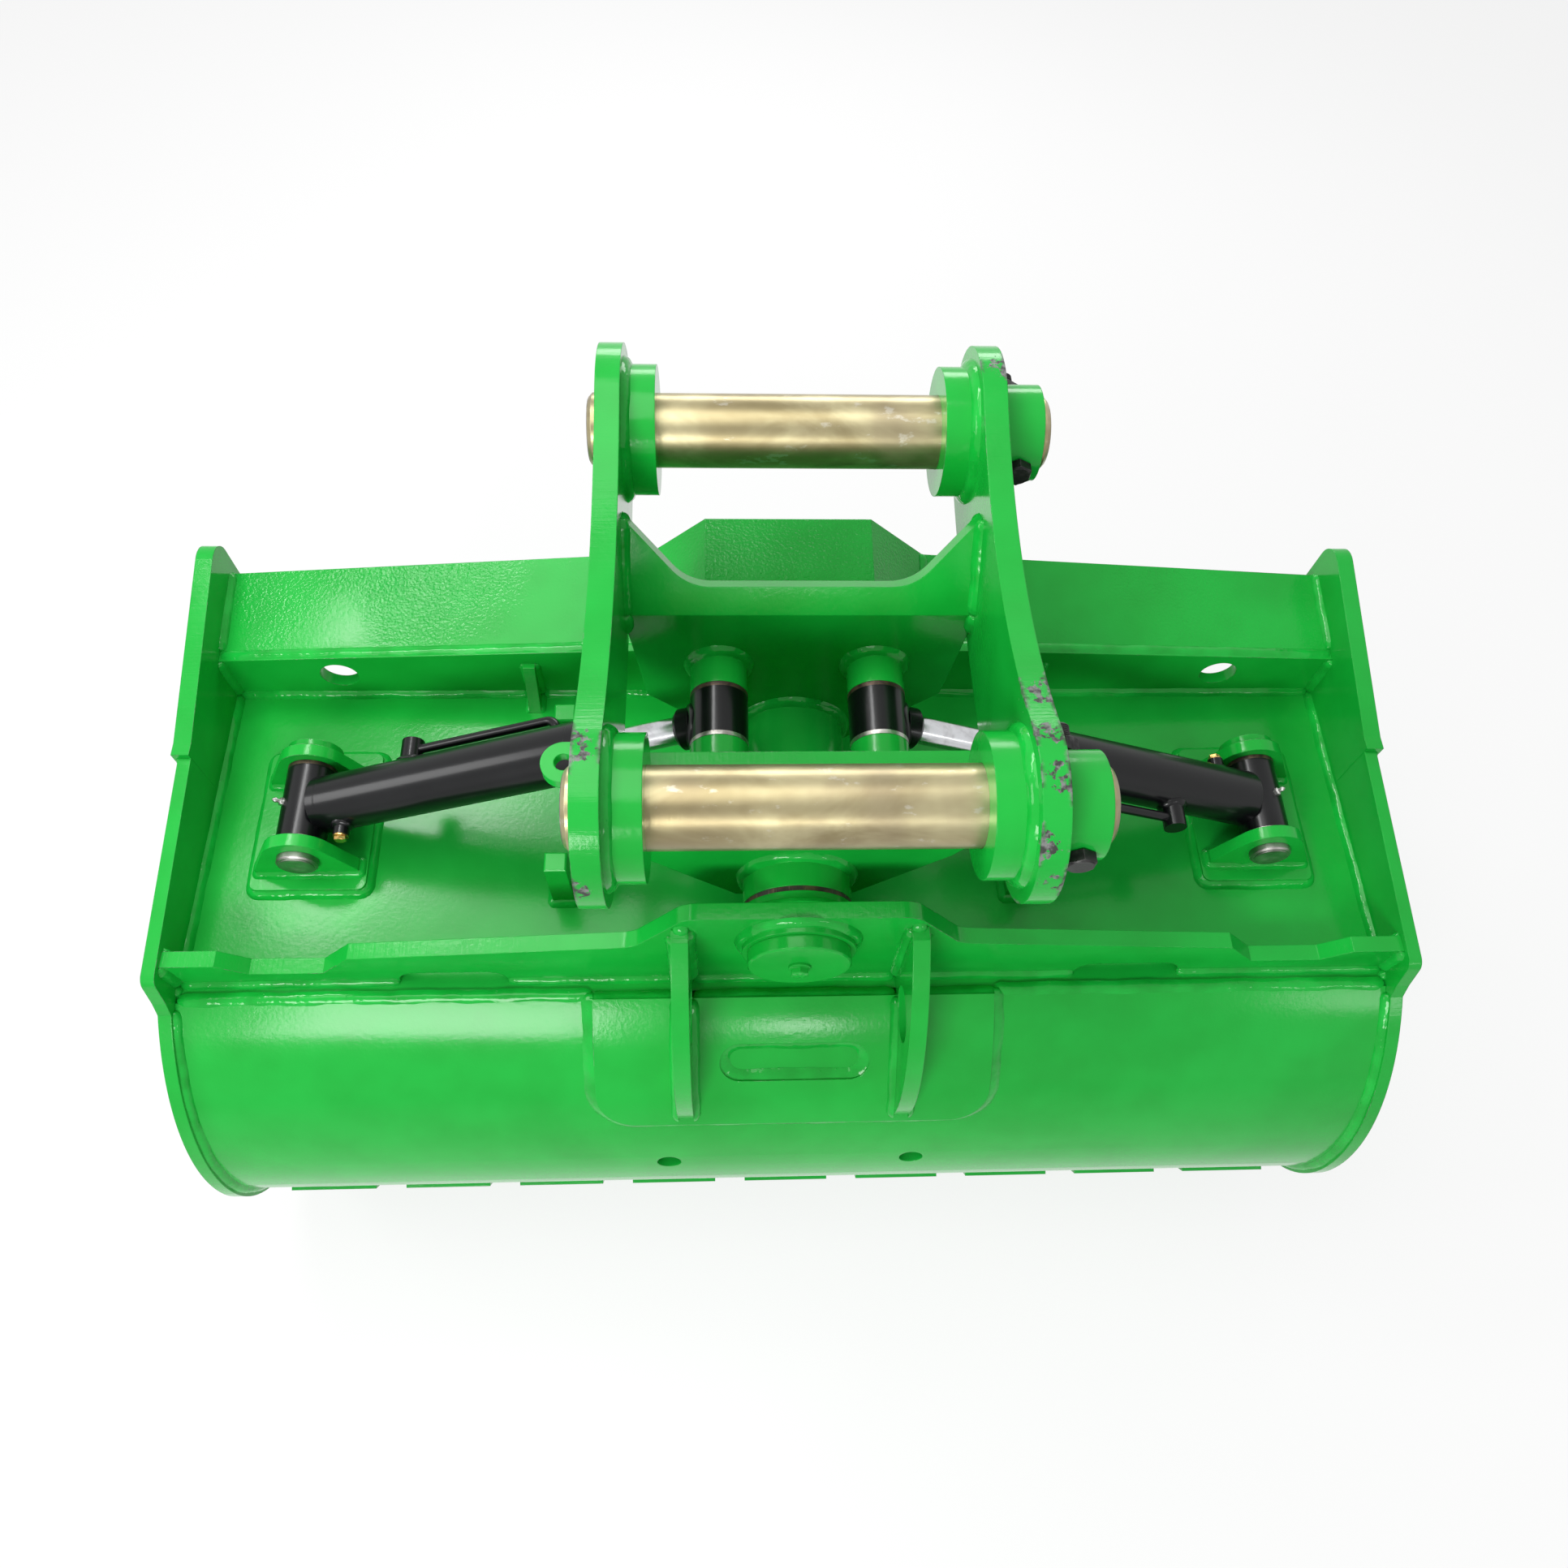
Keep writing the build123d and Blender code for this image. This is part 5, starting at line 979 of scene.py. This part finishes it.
COLLAR_MIDDLE, COLLAR_RADIUS, HEAD, NUT, TAIL = 241, 52.05, 12, 16, 34
bolts, nuts = [], []
for pin_y, pin_z in HITCH_PINS:
    far = 2 * COLLAR_RADIUS
    thread = [(9.0 if ridge % 2 else 7.8, far + 15 + 1.1 * ridge) for ridge in range(16)]
    head = [(12.4, -HEAD), (13.5, -HEAD + 1.4), (13.5, 0), (9.0, 0)]
    profile = [*head, (9.0, far + 14), *thread, (6.9, far + TAIL)]
    flats = [False, True, True, False] + [False] * (len(profile) - len(head))
    base = place(COLLAR_MIDDLE, pin_y - COLLAR_RADIUS, pin_z)
    bolts.append(turned(np.array(profile) / 1000, base, Y, 48, flats))
    loop = [(9.4, 0), (13.0, 0), (13.5, 1.2), (13.5, NUT - 1.2), (13.0, NUT), (9.4, NUT)]
    flats = [False, False, True, True, False, False]
    nuts.append(turned(np.array(loop) / 1000, base + Y * far / 1000, Y, 48, flats, True))
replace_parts(piece("collar_bolts", "headstock", bolt_black, bolts, 30), "pin_bolts")
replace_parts(piece("collar_nuts", "headstock", bolt_black, nuts, 30), "pin_nuts")

CAP_FACE_Y = -31
profile = [(5.9, -57), (5.9, 0), (13, 0), (13, 2.6), (12.6, 3), (9.5, 3), (9.5, 10.2), (8.8, 11), (0.4, 11)]
flats = [False, False, False, False, False, True, True, False, False]
cap_bolt = turned(np.array(profile) / 1000, place(0, CAP_FACE_Y, SHAFT_LEVEL), -Y, 48, flats)
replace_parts(piece("cap_screw", "bucket", enamel, [cap_bolt], 30), "cap_bolt")


# Floor, light and camera


def lamp(name, spot, target, width, height, watts):
    """A soft rectangular lamp at a spot, facing a target."""
    light = bpy.data.lights.new(name, "AREA")
    light.shape, light.size, light.size_y = "RECTANGLE", width, height
    light.energy = watts
    thing = bpy.data.objects.new(name, light)
    thing.location = spot
    thing.rotation_euler = (Vector(target) - Vector(spot)).to_track_quat("-Z", "Y").to_euler()
    bpy.context.scene.collection.objects.link(thing)


def seen_directly(finish):
    """1 for rays from the camera, a mirror or a window, and 0 for the light that falls on the object."""
    seen = 0.0
    for kind in ("Is Camera Ray", "Is Glossy Ray", "Is Transmission Ray"):
        ray = finish.node("ShaderNodeLightPath", {}, {}, kind)
        seen = ray.math("MAXIMUM", ray, seen)
    return seen


FLOOR_REACH, FLOOR_LEVEL, FLOOR_GLOW = 30, -0.0004, 0.8
corners = [(x * FLOOR_REACH, y * FLOOR_REACH, FLOOR_LEVEL) for x, y in ((-1, -1), (1, -1), (1, 1), (-1, 1))]
floor_mesh = bpy.data.meshes.new("studio_floor")
floor_mesh.from_pydata(corners, [], [(0, 1, 2, 3)])
floor = bpy.data.objects.new("studio_floor", floor_mesh)
bpy.context.scene.collection.objects.link(floor)
f = Finish("studio_floor")
matt = f.node("ShaderNodeBsdfDiffuse", {}, {"Color": (0.86, 0.86, 0.86)})
glow = f.node("ShaderNodeEmission", {}, {})
mixed = f.node("ShaderNodeMixShader", {}, {0: seen_directly(f) * FLOOR_GLOW, 1: matt, 2: glow})
f.node("ShaderNodeOutputMaterial", {}, {"Surface": mixed})
floor_mesh.materials.append(f.owner)

SKY, BACKDROP = 0.38, 1.0
f = Finish("studio", bpy.data.worlds)
strength = f.node("ShaderNodeMapRange", {}, {"Value": seen_directly(f), "To Min": SKY, "To Max": BACKDROP})
light = f.node("ShaderNodeBackground", {}, {"Color": (1, 1, 1), "Strength": strength})
f.node("ShaderNodeOutputWorld", {}, {"Surface": light})
bpy.context.scene.world = f.owner

lamp("window_lamp", (-1.1, -2.7, 2.27), (-0.4, -0.2, 0.5), 1.15, 0.85, 54)
lamp("strip_lamp", (-1.15, 1.07, 2.86), (-0.4, 0.2, 0.6), 1.05, 0.26, 18)
lamp("sky_lamp", (-0.6, 0.3, 3.5), (-0.1, 0, 0.5), 2.0, 1.8, 38)
lamp("left_lamp", (-2.5, -0.1, 2.1), (0, 0.1, 0.7), 1.1, 0.9, 20)
lamp("mouth_lamp", (0.15, 2.75, 1.6), (-0.3, 0, 0.7), 1.8, 0.7, 25)
lamp("work_lamp", (0.15, -2.8, 2.1), (0, -0.2, 0.5), 0.3, 0.3, 6)
lamp("side_lamp", (2.15, -2.35, 2.2), (0.6, -0.2, 0.5), 0.5, 0.4, 5)

# The camera stands behind the heel and above the object. It looks straight down, and then it is turned up by
# its pitch, sideways by its yaw and round its own line of sight by its roll.
CAMERA_SPOT = (-0.0806, -0.7125, 2.020)
PITCH, YAW, ROLL = (math.radians(angle) for angle in (27.59, -2.65, -0.38))
IMAGE_WIDTH, FOCAL_PIXELS, SENSOR = 1932, 1493.6, 36.0
lens = bpy.data.cameras.new("camera")
lens.sensor_width = SENSOR
lens.lens = FOCAL_PIXELS / IMAGE_WIDTH * SENSOR
lens.clip_start, lens.clip_end = 0.05, 60
camera = bpy.data.objects.new("camera", lens)
aim = Matrix.Translation(CAMERA_SPOT)
for angle, axis in ((PITCH, "X"), (YAW, "Y"), (ROLL, "Z")):
    aim = aim @ Matrix.Rotation(angle, 4, axis)
camera.matrix_world = aim
bpy.context.scene.collection.objects.link(camera)
bpy.context.scene.camera = camera
bpy.context.scene.view_settings.view_transform = "Standard"
